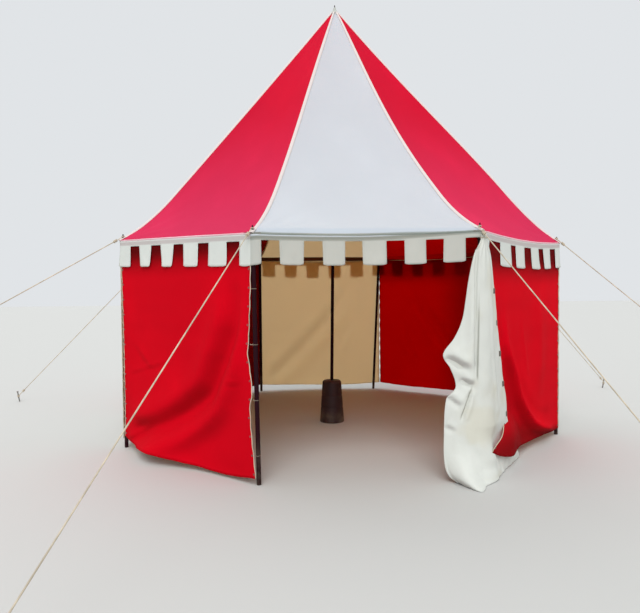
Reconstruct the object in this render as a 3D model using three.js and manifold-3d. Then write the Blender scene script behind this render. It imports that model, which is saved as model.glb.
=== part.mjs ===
// Eight-sided canvas pavilion with a steep pointed roof, panelled walls and a castellated valance.
// Millimetres, +Z up. The origin is on the ground under the apex, and the doorway faces -Y.

import * as THREE from 'three';
import * as BufferGeometryUtils from 'three/addons/utils/BufferGeometryUtils.js';
import Module from 'manifold-3d';

const wasm = await Module();
wasm.setup();

// Plan
const SIDES = 8;
const SIDE_ANGLE = (2 * Math.PI) / SIDES;
const HALF_ANGLE = SIDE_ANGLE / 2;
const EAVE_REACH = 2500; // from the centre to a corner of the roof's hem
const POLE_REACH = 2465; // from the centre to the axis of a corner pole
const HEM_APOTHEM = EAVE_REACH * Math.cos(HALF_ANGLE);
const SIDE_LENGTH = 2 * EAVE_REACH * Math.sin(HALF_ANGLE);

// Roof
const APEX_HEIGHT = 4915;
const EAVE_HEIGHT = 2075;
const HIP_SLOPE = 1.205; // fall of a hip for each unit of reach, down to the flare
const FLARE_START = 1950; // reach at which the hips begin to ease outwards
const FLARE_LENGTH = EAVE_REACH - FLARE_START;
const FLARE_HEIGHT = APEX_HEIGHT - HIP_SLOPE * FLARE_START;
const HEM_SLOPE = (2 * (FLARE_HEIGHT - EAVE_HEIGHT)) / FLARE_LENGTH - HIP_SLOPE;
const HEM_SAG = 35; // the hem hangs this much lower halfway between two poles, at most
const SLACK_START = 60; // the hips are straight under the cap, up to this reach
const SLACK_ROUNDING = 1.3; // above 1, a slack hip leaves its ends more softly
const APEX_HOLE_REACH = 10;
const ROOF_DROP = 8; // thickness of the roof cloth, measured straight down
const STRAIGHT_ROWS = 8;
const FLARE_ROWS = 6;
const ROOF_COLUMNS = 6;

// Cloth that hangs
const CLOTH = 5;
const SEAM_GAP = 0.2;
const SEAT_GAP = 0.3;
const BAND_DEPTH = 70; // the plain band at the top of the valance
const FLAP_DROP = 192; // the square flaps below that band
const FLAP_WIDTH = 200;
const FIRST_FLAP = -18; // middle of the first flap, from the front left corner, anticlockwise
const FRONT_FLAPS = 12; // on the front and the next face
const FRONT_PITCH = 340;
const SIDE_FLAPS = 32; // on the other faces
const SIDE_PITCH = 349;
const BACK_FLAPS = 28; // those of them before the front left face
const BACK_SHIFT = 118; // how far round the flaps in the middle of the back face stand from an even row
const NARROWEST_FLAP = 12; // less than this of a flap round a corner is left out
const VALANCE_END = 2.5;
const WALL_WIDTH = 1870;
const WALL_TOP = EAVE_HEIGHT - HEM_SAG - ROOF_DROP - 4;
const WALL_BOTTOM = 95; // the walls clear the grass
const VALANCE_INNER = HEM_APOTHEM - CLOTH;

// Poles, base and cap
const ROD_SIDES = 12;
const POLE_SIDES = 20;
const POLE_RADIUS = 19;
const SPIGOT_RADIUS = 6;
const SPIGOT_CLEARANCE = 0.5;
const SPIGOT_RISE = 64; // above the hem
const APEX_PIN_TOP = APEX_HEIGHT + 48;
const CENTRE_FOOT_SHIFT = -67; // the centre pole leans, so its foot and its base stand left of the apex
const BASE_HEIGHT = 500;
const BASE_TOP_RADIUS = 112;
const BASE_FOOT_RADIUS = 145;
const BASE_EDGE = 16;
const CAP_REACH = 52;
const CAP_TOP = APEX_HEIGHT + 22;
const CAP_THICKNESS = 5;

// Guy ropes and pegs
const ROPE_RADIUS = 5;
const ROPE_STEPS = 6;
const KNOT_HEIGHT = 20; // two turns of rope
const KNOT_WALL = 9;
const KNOT_LIFT = 2.5; // clears the facets of the roof cloth
const PEG_RADIUS = 8;
const PEG_HEIGHT = 150;
const PEG_HEAD_RADIUS = 13;
const PEG_HEAD_HEIGHT = 14;
const PEG_LEAN = Math.tan(THREE.MathUtils.degToRad(14));
const PEG_KNOT_HEIGHT = 78; // middle of the rope's turn round a peg

// Each corner with the distance on the ground from the hem to its peg, how far its hem is drawn up,
// how deep its hip hangs slack (less than zero where it is stretched higher), the share of the reach
// where that is deepest, and how far its pole's foot stands to the right of its top
const CORNERS = [
  { name: 'front_left', toPeg: 2670, rise: -22, slack: 90, deepest: 0.65, footShift: 30 },
  { name: 'front_right', toPeg: 2090, rise: 0, slack: 210, deepest: 0.5, footShift: 0 },
  { name: 'right_front', toPeg: 2200, rise: 0, slack: -60, deepest: 0.7, footShift: 0 },
  { name: 'right_back', toPeg: 2300, rise: 0, slack: 0, deepest: 0.5, footShift: 0 },
  { name: 'back_right', toPeg: 2300, rise: 0, slack: 0, deepest: 0.5, footShift: -100 },
  { name: 'back_left', toPeg: 2300, rise: 0, slack: 0, deepest: 0.5, footShift: 0 },
  { name: 'left_back', toPeg: 2300, rise: 0, slack: 0, deepest: 0.5, footShift: 0 },
  { name: 'left_front', toPeg: 3370, rise: 28, slack: 0, deepest: 0.5, footShift: 0 },
];

// Each face with the sag of its hem
const FACES = [
  { name: 'front', sag: 24 },
  { name: 'front_right', sag: HEM_SAG },
  { name: 'right', sag: HEM_SAG },
  { name: 'back_right', sag: HEM_SAG },
  { name: 'back', sag: HEM_SAG },
  { name: 'back_left', sag: HEM_SAG },
  { name: 'left', sag: HEM_SAG },
  { name: 'front_left', sag: 0 },
];

const cloth = (color) => new THREE.MeshStandardMaterial({ color, roughness: 0.9, metalness: 0 });
const redCloth = cloth('#c8102a');
const whiteCloth = cloth('#dcdcd4');
const valanceCloth = cloth('#cfd0cb');
const ropeMaterial = new THREE.MeshStandardMaterial({ color: '#d8cdb4', roughness: 0.95, metalness: 0 });
const poleMaterial = new THREE.MeshStandardMaterial({ color: '#1c1512', roughness: 0.55, metalness: 0.4 });
const baseMaterial = new THREE.MeshStandardMaterial({ color: '#2a1214', roughness: 0.8, metalness: 0 });
const pegMaterial = new THREE.MeshStandardMaterial({ color: '#4a4a4a', roughness: 0.5, metalness: 0.9 });

const tent = new THREE.Group();

function addMesh(parent, name, geometry, material) {
  const mesh = new THREE.Mesh(geometry, material);
  mesh.name = name;
  parent.add(mesh);
  return mesh;
}

// A group turned so that its own -Y points at the middle of a face
function faceGroup(index) {
  const group = new THREE.Group();
  group.rotation.z = index * SIDE_ANGLE;
  tent.add(group);
  return group;
}

const cornerTurn = (index) => index * SIDE_ANGLE - HALF_ANGLE;

// A group turned so that its own -Y points at a corner
function cornerGroup(index) {
  const group = new THREE.Group();
  group.rotation.z = cornerTurn(index);
  tent.add(group);
  return group;
}

function toSolid(geometry) {
  const bare = geometry.clone();
  bare.deleteAttribute('normal');
  bare.deleteAttribute('uv');
  const merged = BufferGeometryUtils.mergeVertices(bare, 0.001);
  return new wasm.Manifold(new wasm.Mesh({
    numProp: 3,
    vertProperties: merged.attributes.position.array,
    triVerts: Uint32Array.from(merged.index.array),
  }));
}

function toGeometry(solid) {
  const mesh = solid.getMesh();
  const geometry = new THREE.BufferGeometry();
  geometry.setAttribute('position', new THREE.BufferAttribute(mesh.vertProperties, 3));
  geometry.setIndex(new THREE.BufferAttribute(mesh.triVerts, 1));
  geometry.computeVertexNormals();
  return geometry;
}

// A solid of revolution about Z from points given as [radius, height]
function turned(profile, segments) {
  const points = profile.map(([r, z]) => new THREE.Vector2(r, z));
  const geometry = new THREE.LatheGeometry(points, segments);
  geometry.rotateX(Math.PI / 2);
  return geometry;
}

// A closed skin through rings of points. Each ring runs along the outer side and comes back along the
// inner side, and the rings follow each other from the top down.
function skin(rings) {
  const count = rings[0].length;
  const indices = [];
  for (let row = 0; row + 1 < rings.length; row += 1) {
    for (let i = 0; i < count; i += 1) {
      const a = row * count + i;
      const b = row * count + ((i + 1) % count);
      indices.push(a, b + count, b, a, a + count, b + count);
    }
  }
  for (const [row, flip] of [[0, false], [rings.length - 1, true]]) {
    for (let i = 0; i + 1 < count / 2; i += 1) {
      const start = row * count;
      const [a, b, c, d] = [start + i, start + i + 1, start + count - 2 - i, start + count - 1 - i];
      indices.push(...(flip ? [a, c, b, a, d, c] : [a, b, c, a, c, d]));
    }
  }
  const geometry = new THREE.BufferGeometry();
  geometry.setAttribute('position', new THREE.Float32BufferAttribute(rings.flat(2), 3));
  geometry.setIndex(indices);
  geometry.computeVertexNormals();
  return geometry;
}

// Height of a tight hip's upper side at a distance from the centre
function hipHeight(reach) {
  if (reach <= FLARE_START) return APEX_HEIGHT - HIP_SLOPE * reach;
  const along = reach - FLARE_START;
  return FLARE_HEIGHT - HIP_SLOPE * along + ((HIP_SLOPE - HEM_SLOPE) * along * along) / (2 * FLARE_LENGTH);
}

// How far a corner's hip hangs below a tight, even one
function hipSlack({ rise, slack, deepest }, reach) {
  const along = Math.max(0, (reach - SLACK_START) / (EAVE_REACH - SLACK_START));
  const share = along ** (Math.log(0.5) / Math.log(deepest));
  return slack * Math.max(0, Math.sin(Math.PI * share)) ** SLACK_ROUNDING - rise * along ** 3;
}

// Reaches of the rows of a roof cloth, from the apex down to the hem
function roofReaches() {
  const reaches = [APEX_HOLE_REACH];
  for (let row = 0; row < STRAIGHT_ROWS; row += 1) {
    reaches.push(THREE.MathUtils.lerp(SLACK_START, FLARE_START, row / STRAIGHT_ROWS));
  }
  for (let row = 0; row <= FLARE_ROWS; row += 1) {
    reaches.push(THREE.MathUtils.lerp(FLARE_START, EAVE_REACH, row / FLARE_ROWS));
  }
  return reaches;
}

// How far the cloth hangs below the line between two hips; share is 0 midway and 1 at a hip
function clothSag(sag, reach, share) {
  return sag * (reach / EAVE_REACH) ** 4 * (1 - share * share);
}

// One triangular roof cloth between two hips
function roofPanelGeometry(index) {
  const [left, right] = [CORNERS[index], CORNERS[(index + 1) % SIDES]];
  const rings = roofReaches().map((reach) => {
    const halfWidth = reach * Math.sin(HALF_ANGLE) - SEAM_GAP;
    const upper = [];
    for (let column = 0; column <= ROOF_COLUMNS; column += 1) {
      const across = column / ROOF_COLUMNS;
      const share = 2 * across - 1;
      const slack = THREE.MathUtils.lerp(hipSlack(left, reach), hipSlack(right, reach), across);
      const height = hipHeight(reach) - slack - clothSag(FACES[index].sag, reach, share);
      upper.push([share * halfWidth, -reach * Math.cos(HALF_ANGLE), height]);
    }
    const lower = upper.map(([x, y, z]) => [x, y, z - ROOF_DROP]).reverse();
    return [...upper, ...lower];
  });
  return skin(rings);
}

// The roof cloth with a half-round notch at each lower corner for the spigots
function notchedRoofPanel(index) {
  const notchRadius = SPIGOT_RADIUS + SPIGOT_CLEARANCE;
  let panel = toSolid(roofPanelGeometry(index));
  for (const side of [-1, 1]) {
    const notch = new THREE.CylinderGeometry(notchRadius, notchRadius, 200, ROD_SIDES);
    notch.rotateX(Math.PI / 2);
    notch.translate(
      side * POLE_REACH * Math.sin(HALF_ANGLE), -POLE_REACH * Math.cos(HALF_ANGLE), EAVE_HEIGHT);
    panel = panel.subtract(toSolid(notch));
  }
  return toGeometry(panel);
}

// Middle of a flap, walked round the hem from the front left corner
function flapMiddle(flap) {
  if (flap === FRONT_FLAPS + SIDE_FLAPS) return FIRST_FLAP + SIDES * SIDE_LENGTH;
  const onFront = Math.min(flap, FRONT_FLAPS - 1);
  const shift = BACK_SHIFT * Math.sin(Math.PI * Math.min(1, (flap - onFront) / BACK_FLAPS)) ** 2;
  return FIRST_FLAP + onFront * FRONT_PITCH + (flap - onFront) * SIDE_PITCH + shift;
}

// Start and end of each flap, or part of one, that falls on a face, measured from its middle
function flapsOnFace(index) {
  const half = SIDE_LENGTH / 2 - VALANCE_END;
  const flaps = [];
  for (let flap = 0; flap <= FRONT_FLAPS + SIDE_FLAPS; flap += 1) {
    const middle = flapMiddle(flap) - (index + 0.5) * SIDE_LENGTH;
    const low = Math.max(middle - FLAP_WIDTH / 2, -half);
    const high = Math.min(middle + FLAP_WIDTH / 2, half);
    if (high - low > NARROWEST_FLAP) flaps.push([low, high]);
  }
  return flaps;
}

// A band under the hem with square flaps along its lower edge
function valanceGeometry(index) {
  const half = SIDE_LENGTH / 2 - VALANCE_END;
  const [left, right] = [CORNERS[index], CORNERS[(index + 1) % SIDES]];
  const rise = (x) => THREE.MathUtils.lerp(left.rise, right.rise, x / SIDE_LENGTH + 0.5);
  const sag = (x) => clothSag(FACES[index].sag, EAVE_REACH, x / (SIDE_LENGTH / 2));
  const hem = (x) => EAVE_HEIGHT + rise(x) - sag(x) - ROOF_DROP - SEAT_GAP;
  const outline = [];
  const steps = 12;
  for (let step = steps; step >= 0; step -= 1) {
    const x = THREE.MathUtils.lerp(-half, half, step / steps);
    outline.push(new THREE.Vector2(x, hem(x)));
  }
  const notchHeight = (x) => hem(x) - BAND_DEPTH;
  const flaps = flapsOnFace(index);
  if (flaps[0][0] > -half) outline.push(new THREE.Vector2(-half, notchHeight(half)));
  for (const [low, high] of flaps) {
    const bottom = hem((low + high) / 2) - BAND_DEPTH - FLAP_DROP;
    if (low > -half) outline.push(new THREE.Vector2(low, notchHeight(low)));
    outline.push(new THREE.Vector2(low, bottom), new THREE.Vector2(high, bottom));
    if (high < half) outline.push(new THREE.Vector2(high, notchHeight(high)));
  }
  if (flaps.at(-1)[1] < half) outline.push(new THREE.Vector2(half, notchHeight(half)));
  const shape = new THREE.Shape(outline);
  const geometry = new THREE.ExtrudeGeometry(shape, { depth: CLOTH, bevelEnabled: false });
  geometry.rotateX(Math.PI / 2);
  geometry.translate(0, -VALANCE_INNER, 0);
  return geometry;
}

function wallGeometry() {
  const geometry = new THREE.BoxGeometry(WALL_WIDTH, CLOTH, WALL_TOP - WALL_BOTTOM);
  geometry.translate(0, -(VALANCE_INNER - SEAT_GAP - CLOTH / 2), (WALL_TOP + WALL_BOTTOM) / 2);
  return geometry;
}

// The front wall cloth, drawn aside to the front right corner and hanging outside it.
// Each level has a height, its left end on the front face, its right end on the next face,
// both measured from the middle of the face, and how far it stands out.
const CURTAIN_LEVELS = [
  [2030, 905, -875, 26],
  [1800, 895, -815, 38],
  [1330, 815, -690, 50],
  [1040, 600, -605, 58],
  [780, 700, -555, 62],
  [635, 606, -535, 70],
  [420, 598, -480, 90],
  [235, 600, -380, 125],
  [115, 608, -300, 190],
  [0, 690, -215, 330],
];
const CURTAIN_FULLNESS = [0.35, 1, 0.85, 0.6, 0.3]; // share of the standing out, left to right
const CURTAIN_FOOT_FULLNESS = [0.3, 1, 0.4, 0.18, 0.05]; // and on the ground
const CURTAIN_FOOT_HEIGHT = 420;

function curtainGeometry() {
  const back = HEM_APOTHEM + SEAT_GAP;
  const onFront = (along, out) => [along, -(back + out)];
  const onNext = (along, out) => {
    const [x, y] = onFront(along, out);
    const turn = new THREE.Vector2(x, y).rotateAround(new THREE.Vector2(), SIDE_ANGLE);
    return [turn.x, turn.y];
  };
  const corner = (out) => onFront((back + out) * Math.tan(HALF_ANGLE), out);
  const rings = CURTAIN_LEVELS.map(([height, left, right, standOut]) => {
    const half = back * Math.tan(HALF_ANGLE);
    const line = (share) => [
      onFront(left, share[0]),
      onFront((left + half) / 2, share[1]),
      corner(share[2]),
      onNext((right - half) / 2, share[3]),
      onNext(right, share[4]),
    ];
    const inner = line([0, 0, 0, 0, 0]);
    const rise = Math.min(1, height / CURTAIN_FOOT_HEIGHT);
    const outer = line(CURTAIN_FULLNESS.map((share, spot) => (
      standOut * THREE.MathUtils.lerp(CURTAIN_FOOT_FULLNESS[spot], share, rise))));
    return [...outer, ...inner.reverse()].map(([x, y]) => [x, y, height]);
  });
  return skin(rings);
}

// Moves the foot of an upright rod, so that it leans between its foot and its shoulder
function shiftFoot(geometry, foot, x, y) {
  const places = geometry.attributes.position;
  for (let i = 0; i < places.count; i += 1) {
    if (places.getZ(i) < foot + 1) places.setXY(i, places.getX(i) + x, places.getY(i) + y);
  }
  geometry.computeVertexNormals();
  return geometry;
}

// A corner pole, made at the origin in the group of its corner
function cornerPoleGeometry(index) {
  const { rise, footShift } = CORNERS[index];
  const rim = POLE_REACH + POLE_RADIUS / Math.cos(HALF_ANGLE);
  const shoulder = hipHeight(rim) - hipSlack(CORNERS[index], rim) - ROOF_DROP - 3;
  const top = EAVE_HEIGHT + rise + SPIGOT_RISE;
  const pole = turned([
    [0, 0], [POLE_RADIUS, 0], [POLE_RADIUS, shoulder], [SPIGOT_RADIUS, shoulder],
    [SPIGOT_RADIUS, top], [0, top],
  ], POLE_SIDES);
  const angle = cornerTurn(index);
  return shiftFoot(pole, 0, footShift * Math.cos(angle), -footShift * Math.sin(angle));
}

function centrePoleGeometry() {
  const foot = BASE_HEIGHT + SEAT_GAP;
  const shoulder = hipHeight(POLE_RADIUS / Math.cos(HALF_ANGLE)) - ROOF_DROP - SEAT_GAP;
  const pole = turned([
    [0, foot], [POLE_RADIUS, foot], [POLE_RADIUS, shoulder], [SPIGOT_RADIUS, shoulder],
    [SPIGOT_RADIUS, APEX_PIN_TOP], [0, APEX_PIN_TOP],
  ], POLE_SIDES);
  return shiftFoot(pole, foot, CENTRE_FOOT_SHIFT, 0);
}

function centreBaseGeometry() {
  return turned([
    [0, 0], [BASE_FOOT_RADIUS, 0], [BASE_TOP_RADIUS, BASE_HEIGHT - BASE_EDGE],
    [BASE_TOP_RADIUS - BASE_EDGE, BASE_HEIGHT], [0, BASE_HEIGHT],
  ], 32);
}

// A small conical cap over the point where the roof cloths meet
function apexCapGeometry() {
  const hole = SPIGOT_RADIUS + SPIGOT_CLEARANCE;
  const seat = (reach) => hipHeight(reach) + SEAT_GAP;
  const collar = 2 * APEX_HOLE_REACH;
  return turned([
    [hole, seat(hole)], [CAP_REACH, seat(CAP_REACH)], [CAP_REACH, seat(CAP_REACH) + CAP_THICKNESS],
    [collar, seat(collar) + 2 * CAP_THICKNESS], [collar - 4, CAP_TOP], [hole, CAP_TOP], [hole, seat(hole)],
  ], 32);
}

// The rope's turn round an upright rod, standing at the origin
function ropeTurn(rodRadius) {
  const inner = rodRadius + SPIGOT_CLEARANCE;
  const outer = inner + KNOT_WALL;
  return turned([
    [inner, 0], [outer, 0], [outer, KNOT_HEIGHT], [inner, KNOT_HEIGHT], [inner, 0],
  ], ROD_SIDES);
}

// Leans a shape that stands at the origin away from the tent, keeping every level flat
function lean(geometry) {
  return geometry.applyMatrix4(new THREE.Matrix4().set(
    1, 0, 0, 0,
    0, 1, -PEG_LEAN, 0,
    0, 0, 1, 0,
    0, 0, 0, 1,
  ));
}

function pegGeometry() {
  const shank = PEG_HEIGHT - PEG_HEAD_HEIGHT;
  return lean(turned([
    [0, 0], [PEG_RADIUS, 0], [PEG_RADIUS, shank], [PEG_HEAD_RADIUS, shank],
    [PEG_HEAD_RADIUS, PEG_HEIGHT], [0, PEG_HEIGHT],
  ], ROD_SIDES));
}

// A straight taut rope from a turn round a spigot to a turn round a peg
function guyRopeGeometry(corner) {
  const pegReach = EAVE_REACH + corner.toPeg;
  const spigotTurn = ropeTurn(SPIGOT_RADIUS);
  const inside = POLE_REACH - SPIGOT_RADIUS - KNOT_WALL;
  const seat = hipHeight(inside) - hipSlack(corner, inside) + KNOT_LIFT;
  spigotTurn.translate(0, -POLE_REACH, seat);
  const pegTurn = ropeTurn(PEG_RADIUS);
  pegTurn.translate(0, 0, PEG_KNOT_HEIGHT - KNOT_HEIGHT / 2);
  lean(pegTurn);
  pegTurn.translate(0, -pegReach, 0);
  const wallMiddle = SPIGOT_CLEARANCE + KNOT_WALL / 2;
  const top = new THREE.Vector3(0, -(POLE_REACH + SPIGOT_RADIUS + wallMiddle), seat + KNOT_HEIGHT / 2);
  const pegFace = pegReach + PEG_LEAN * PEG_KNOT_HEIGHT - PEG_RADIUS - wallMiddle;
  const foot = new THREE.Vector3(0, -pegFace, PEG_KNOT_HEIGHT);
  const section = new THREE.Shape();
  section.absarc(0, 0, ROPE_RADIUS, 0, 2 * Math.PI);
  const rope = new THREE.ExtrudeGeometry(section, {
    extrudePath: new THREE.LineCurve3(top, foot), steps: ROPE_STEPS, curveSegments: 4, bevelEnabled: false,
  });
  return toGeometry(toSolid(rope).add(toSolid(spigotTurn)).add(toSolid(pegTurn)));
}

FACES.forEach(({ name }, index) => {
  const group = faceGroup(index);
  const material = index % 2 ? redCloth : whiteCloth;
  addMesh(group, `roof_panel_${name}`, notchedRoofPanel(index), material);
  addMesh(group, `valance_${name}`, valanceGeometry(index), valanceCloth);
  if (name !== 'front') addMesh(group, `wall_${name}`, wallGeometry(), material);
});

CORNERS.forEach((corner, index) => {
  const group = cornerGroup(index);
  const { name, toPeg } = corner;
  addMesh(group, `corner_pole_${name}`, cornerPoleGeometry(index), poleMaterial).position.y = -POLE_REACH;
  addMesh(group, `guy_rope_${name}`, guyRopeGeometry(corner), ropeMaterial);
  addMesh(group, `ground_peg_${name}`, pegGeometry(), pegMaterial).position.y = -(EAVE_REACH + toPeg);
});

addMesh(tent, 'door_curtain', curtainGeometry(), whiteCloth);
addMesh(tent, 'centre_pole', centrePoleGeometry(), poleMaterial);
addMesh(tent, 'centre_pole_base', centreBaseGeometry(), baseMaterial).position.x = CENTRE_FOOT_SHIFT;
addMesh(tent, 'apex_cap', apexCapGeometry(), whiteCloth);

export default tent;
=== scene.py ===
import math
import random
from typing import NamedTuple

import bmesh
import bpy
from bpy.props import FloatProperty, FloatVectorProperty, IntProperty, PointerProperty
from bpy.types import Operator, Panel, PropertyGroup
from mathutils import Matrix, Vector, noise


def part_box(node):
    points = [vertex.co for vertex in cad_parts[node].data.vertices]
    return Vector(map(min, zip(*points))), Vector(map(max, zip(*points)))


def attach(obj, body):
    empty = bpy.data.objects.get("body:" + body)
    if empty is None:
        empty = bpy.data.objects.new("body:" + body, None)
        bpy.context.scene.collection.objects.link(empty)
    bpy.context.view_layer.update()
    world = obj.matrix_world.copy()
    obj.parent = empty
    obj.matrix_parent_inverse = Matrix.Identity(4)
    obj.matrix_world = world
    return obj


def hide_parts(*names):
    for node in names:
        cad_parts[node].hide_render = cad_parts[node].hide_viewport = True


bl_info = {
    "name": "Circus Pavilion Tent",
    "version": (1, 0, 0),
    "blender": (4, 5, 0),
    "location": "View3D > Sidebar > Tent",
    "description": "Makes an octagonal circus pavilion tent of red and white canvas, with its ropes and pegs",
    "category": "Add Mesh",
}

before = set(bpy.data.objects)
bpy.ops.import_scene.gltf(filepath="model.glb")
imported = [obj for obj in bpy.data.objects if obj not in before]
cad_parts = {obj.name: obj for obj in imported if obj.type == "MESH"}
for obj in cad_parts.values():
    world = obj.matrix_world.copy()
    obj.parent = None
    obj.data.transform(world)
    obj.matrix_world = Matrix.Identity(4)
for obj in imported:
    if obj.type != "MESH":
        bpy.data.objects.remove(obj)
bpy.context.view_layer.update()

# The plan: a regular octagon with one face to the front. Faces and corners go anticlockwise from above.
FACES = ("front", "front_right", "right", "back_right", "back", "back_left", "left", "front_left")
CORNERS = ("front_left", "front_right", "right_front", "right_back",
           "back_right", "back_left", "left_back", "left_front")
SIDES = len(FACES)
FACE_ANGLE = 2 * math.pi / SIDES
HALF_ANGLE = FACE_ANGLE / 2
HEM_APOTHEM = -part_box("roof_panel_front")[0].y
EAVE_REACH = HEM_APOTHEM / math.cos(HALF_ANGLE)
SIDE_LENGTH = 2 * HEM_APOTHEM * math.tan(HALF_ANGLE)
FRONT_RIGHT = SIDE_LENGTH / 2
CORNER_EASING = 0.04

UP = Vector((0, 0, 1))
SAME_PLACE = 1e-6

# The roof: straight from the apex down to a short flare, where it lies flatter towards the hem.
APEX_HEIGHT = 4.915
EAVE_HEIGHT = 2.075
HIP_SLOPE = 1.205
FLARE_START = 1.95
HEM_SAGS = (0.024, 0.035, 0.035, 0.035, 0.035, 0.035, 0.035, 0.0)
SLACK_START = 0.060
SLACK_ROUNDING = 1.3
# How far the hem at a corner is drawn up, or hangs down where that is less than zero.
CORNER_RISES = {"left_front": 0.028, "front_left": -0.022}
# Corner: how deep its hip hangs slack, and the share of the reach where that is deepest.
HIP_SLACKS = {"front_left": (0.090, 0.65), "front_right": (0.210, 0.5), "right_front": (-0.060, 0.7)}
ROOF_HOLLOW = 0.022
# Creases fan out from each corner of the roof. They grow and fade over these lengths.
CREASE_DEPTH = 0.010
CREASE_GROWTH = 0.15
CREASE_FADE = 0.22
CREASE_COUNT = 15
PUCKER_DEPTH = 0.0016
PUCKER_WIDTH = 0.05
PUCKER_TURNS = 58
BILLOW_DEPTH = 0.010
CAP_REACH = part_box("apex_cap")[1].x
CAP_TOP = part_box("apex_cap")[1].z
PIN_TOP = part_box("centre_pole")[1].z
ROOF_CLOTH_LENGTH = math.hypot(math.cos(HALF_ANGLE), (APEX_HEIGHT - EAVE_HEIGHT) / EAVE_REACH) * EAVE_REACH

# The valance: a row of flaps round the whole tent under a band, a little closer on the two front faces.
BAND_DEPTHS = (0.056, 0.066, 0.070, 0.070, 0.070, 0.070, 0.070, 0.066)
FLAP_DROPS = (0.197, 0.200, 0.192, 0.192, 0.192, 0.192, 0.192, 0.202)
FLAP_WIDTH = 0.200
FIRST_FLAP = -SIDE_LENGTH / 2 - 0.018
FRONT_FLAPS = 12
FRONT_PITCH = 0.340
SIDE_FLAPS = 32
SIDE_PITCH = 0.349
FLAP_COUNT = FRONT_FLAPS + SIDE_FLAPS
# The flaps at the back stand further round than even ones would, the middle one by this much.
BACK_FLAPS = 28
BACK_SHIFT = 0.118

# The walls hang just inside the valance, between the corner poles.
WALL_LOW, WALL_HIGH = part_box("wall_back")
WALL_WIDTH = WALL_HIGH.x - WALL_LOW.x
WALL_TOP = WALL_HIGH.z
WALL_BOTTOM = WALL_LOW.z
WALL_OUT = -0.0053
EYELET_COUNT = 12
EYELET_INSET = 0.018

# Poles, ropes and pegs.
POLE_MIDDLE = sum(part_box("corner_pole_back_left"), Vector()) / 2
POLE_REACH = math.hypot(POLE_MIDDLE.x, POLE_MIDDLE.y)
POLE_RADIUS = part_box("centre_pole")[1].y
SPIGOT_RADIUS = 0.006
ROOF_SEAT = 0.011
BASE_LOW, BASE_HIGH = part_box("centre_pole_base")
BASE_TOP_RADIUS = 0.112
PEG_RADIUS = 0.008
PEG_HEAD_RADIUS = 0.013
PEG_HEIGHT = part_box("ground_peg_back_left")[1].z
PEG_LEAN = math.radians(14)
PEG_HEAD = 0.014
PEG_KNOT_HEIGHT = 0.078

# The camera that the photo gives, with the photo's width in pixels.
PHOTO_WIDTH = 640
FOCAL_PIXELS = 596.1
CAMERA_PLACE = (-0.825, -7.135, 1.5925)
CAMERA_YAW = 4.984
CAMERA_PITCH = -1.63
CAMERA_ROLL = -0.457


class Fold(NamedTuple):
    """A fold along a line of (along, height) points, with lobes of (offset, push, width) across it.

    The offset is positive on the left of the line as it is walked. The fold swells over the first share
    of the line and fades over the last.
    """

    line: tuple
    lobes: tuple
    swell: float = 0.3
    fade: float = 0.3


# The front left wall is pulled towards its lower left corner, which throws one long slanting fold. A hem is
# a line of (share across, height), and a wall's side edges are (height, left end, right end).
FRONT_LEFT_FOLDS = (
    Fold(((0.80, 1.80), (0.769, 1.363), (0.662, 1.077), (0.53, 0.832), (0.426, 0.663), (0.168, 0.483),
          (-0.225, 0.288), (-0.80, 0.12)),
         ((-0.22, 0.035, 0.11), (-0.03, -0.056, 0.095), (0.14, 0.058, 0.11)), 0.30, 0.12),
    Fold(
        ((-0.799, 1.085), (-0.464, 0.833), (-0.30, 0.90)),
        ((0.0, -0.006, 0.04), (0.05, 0.006, 0.04)), 0.4, 0.5),
    Fold(
        ((-0.844, 0.752), (-0.45, 0.850), (-0.113, 0.935)),
        ((0.0, -0.006, 0.014), (0.022, 0.006, 0.02)), 0.2, 0.3),
    Fold(
        ((0.644, 0.808), (0.73, 0.822), (0.829, 0.826)),
        ((0.0, 0.006, 0.010), (-0.018, -0.004, 0.012)), 0.2, 0.3),
    Fold(
        ((0.76, 1.20), (0.84, 1.214), (0.92, 1.22)),
        ((0.0, 0.006, 0.010), (-0.018, -0.004, 0.012)), 0.2, 0.2),
    Fold(
        ((-0.86, 0.13), (-0.581, 0.235), (-0.30, 0.36)),
        ((0.0, 0.012, 0.025), (-0.05, -0.008, 0.03)), 0.1, 0.6),
)
FRONT_LEFT_HEM = (
    (0.0, 0.128), (0.05, 0.094), (0.147, 0.090), (0.325, 0.105), (0.59, 0.052), (0.81, 0.030), (1.0, 0.062))
FRONT_LEFT_EDGES = (
    (0.09, -0.928, 0.975), (0.24, -0.915, 0.958), (0.42, -0.914, 0.934), (0.66, -0.915, 0.922),
    (0.75, -0.916, 0.946), (0.94, -0.917, 0.926), (1.07, -0.918, 0.903), (1.25, -0.922, 0.918),
    (1.70, -0.932, 0.942), (2.03, -0.935, 0.935))

# The front right wall is pulled towards its lower right corner. Its lower left corner lies on the curtain.
FRONT_RIGHT_FOLDS = (
    Fold(((-0.50, 1.50), (-0.461, 1.101), (-0.306, 0.814), (-0.166, 0.563), (0.023, 0.372), (0.236, 0.237),
          (0.578, 0.144), (0.82, 0.11)),
         ((0.0, 0.056, 0.040), (-0.13, -0.042, 0.11), (0.13, -0.012, 0.06)), 0.35, 0.15),
    Fold(
        ((0.32, 1.65), (0.37, 1.17), (0.37, 0.90), (0.316, 0.624), (0.25, 0.45)),
        ((0.0, 0.022, 0.13),), 0.3, 0.3),
    Fold(
        ((-0.10, 1.35), (-0.079, 1.175), (-0.003, 0.902), (0.10, 0.70)),
        ((0.0, 0.012, 0.04),), 0.4, 0.4),
)
FRONT_RIGHT_HEM = (
    (0.0, 0.235), (0.10, 0.165), (0.21, 0.112), (0.355, 0.116), (0.54, 0.092), (0.70, 0.084), (1.0, 0.074))
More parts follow.
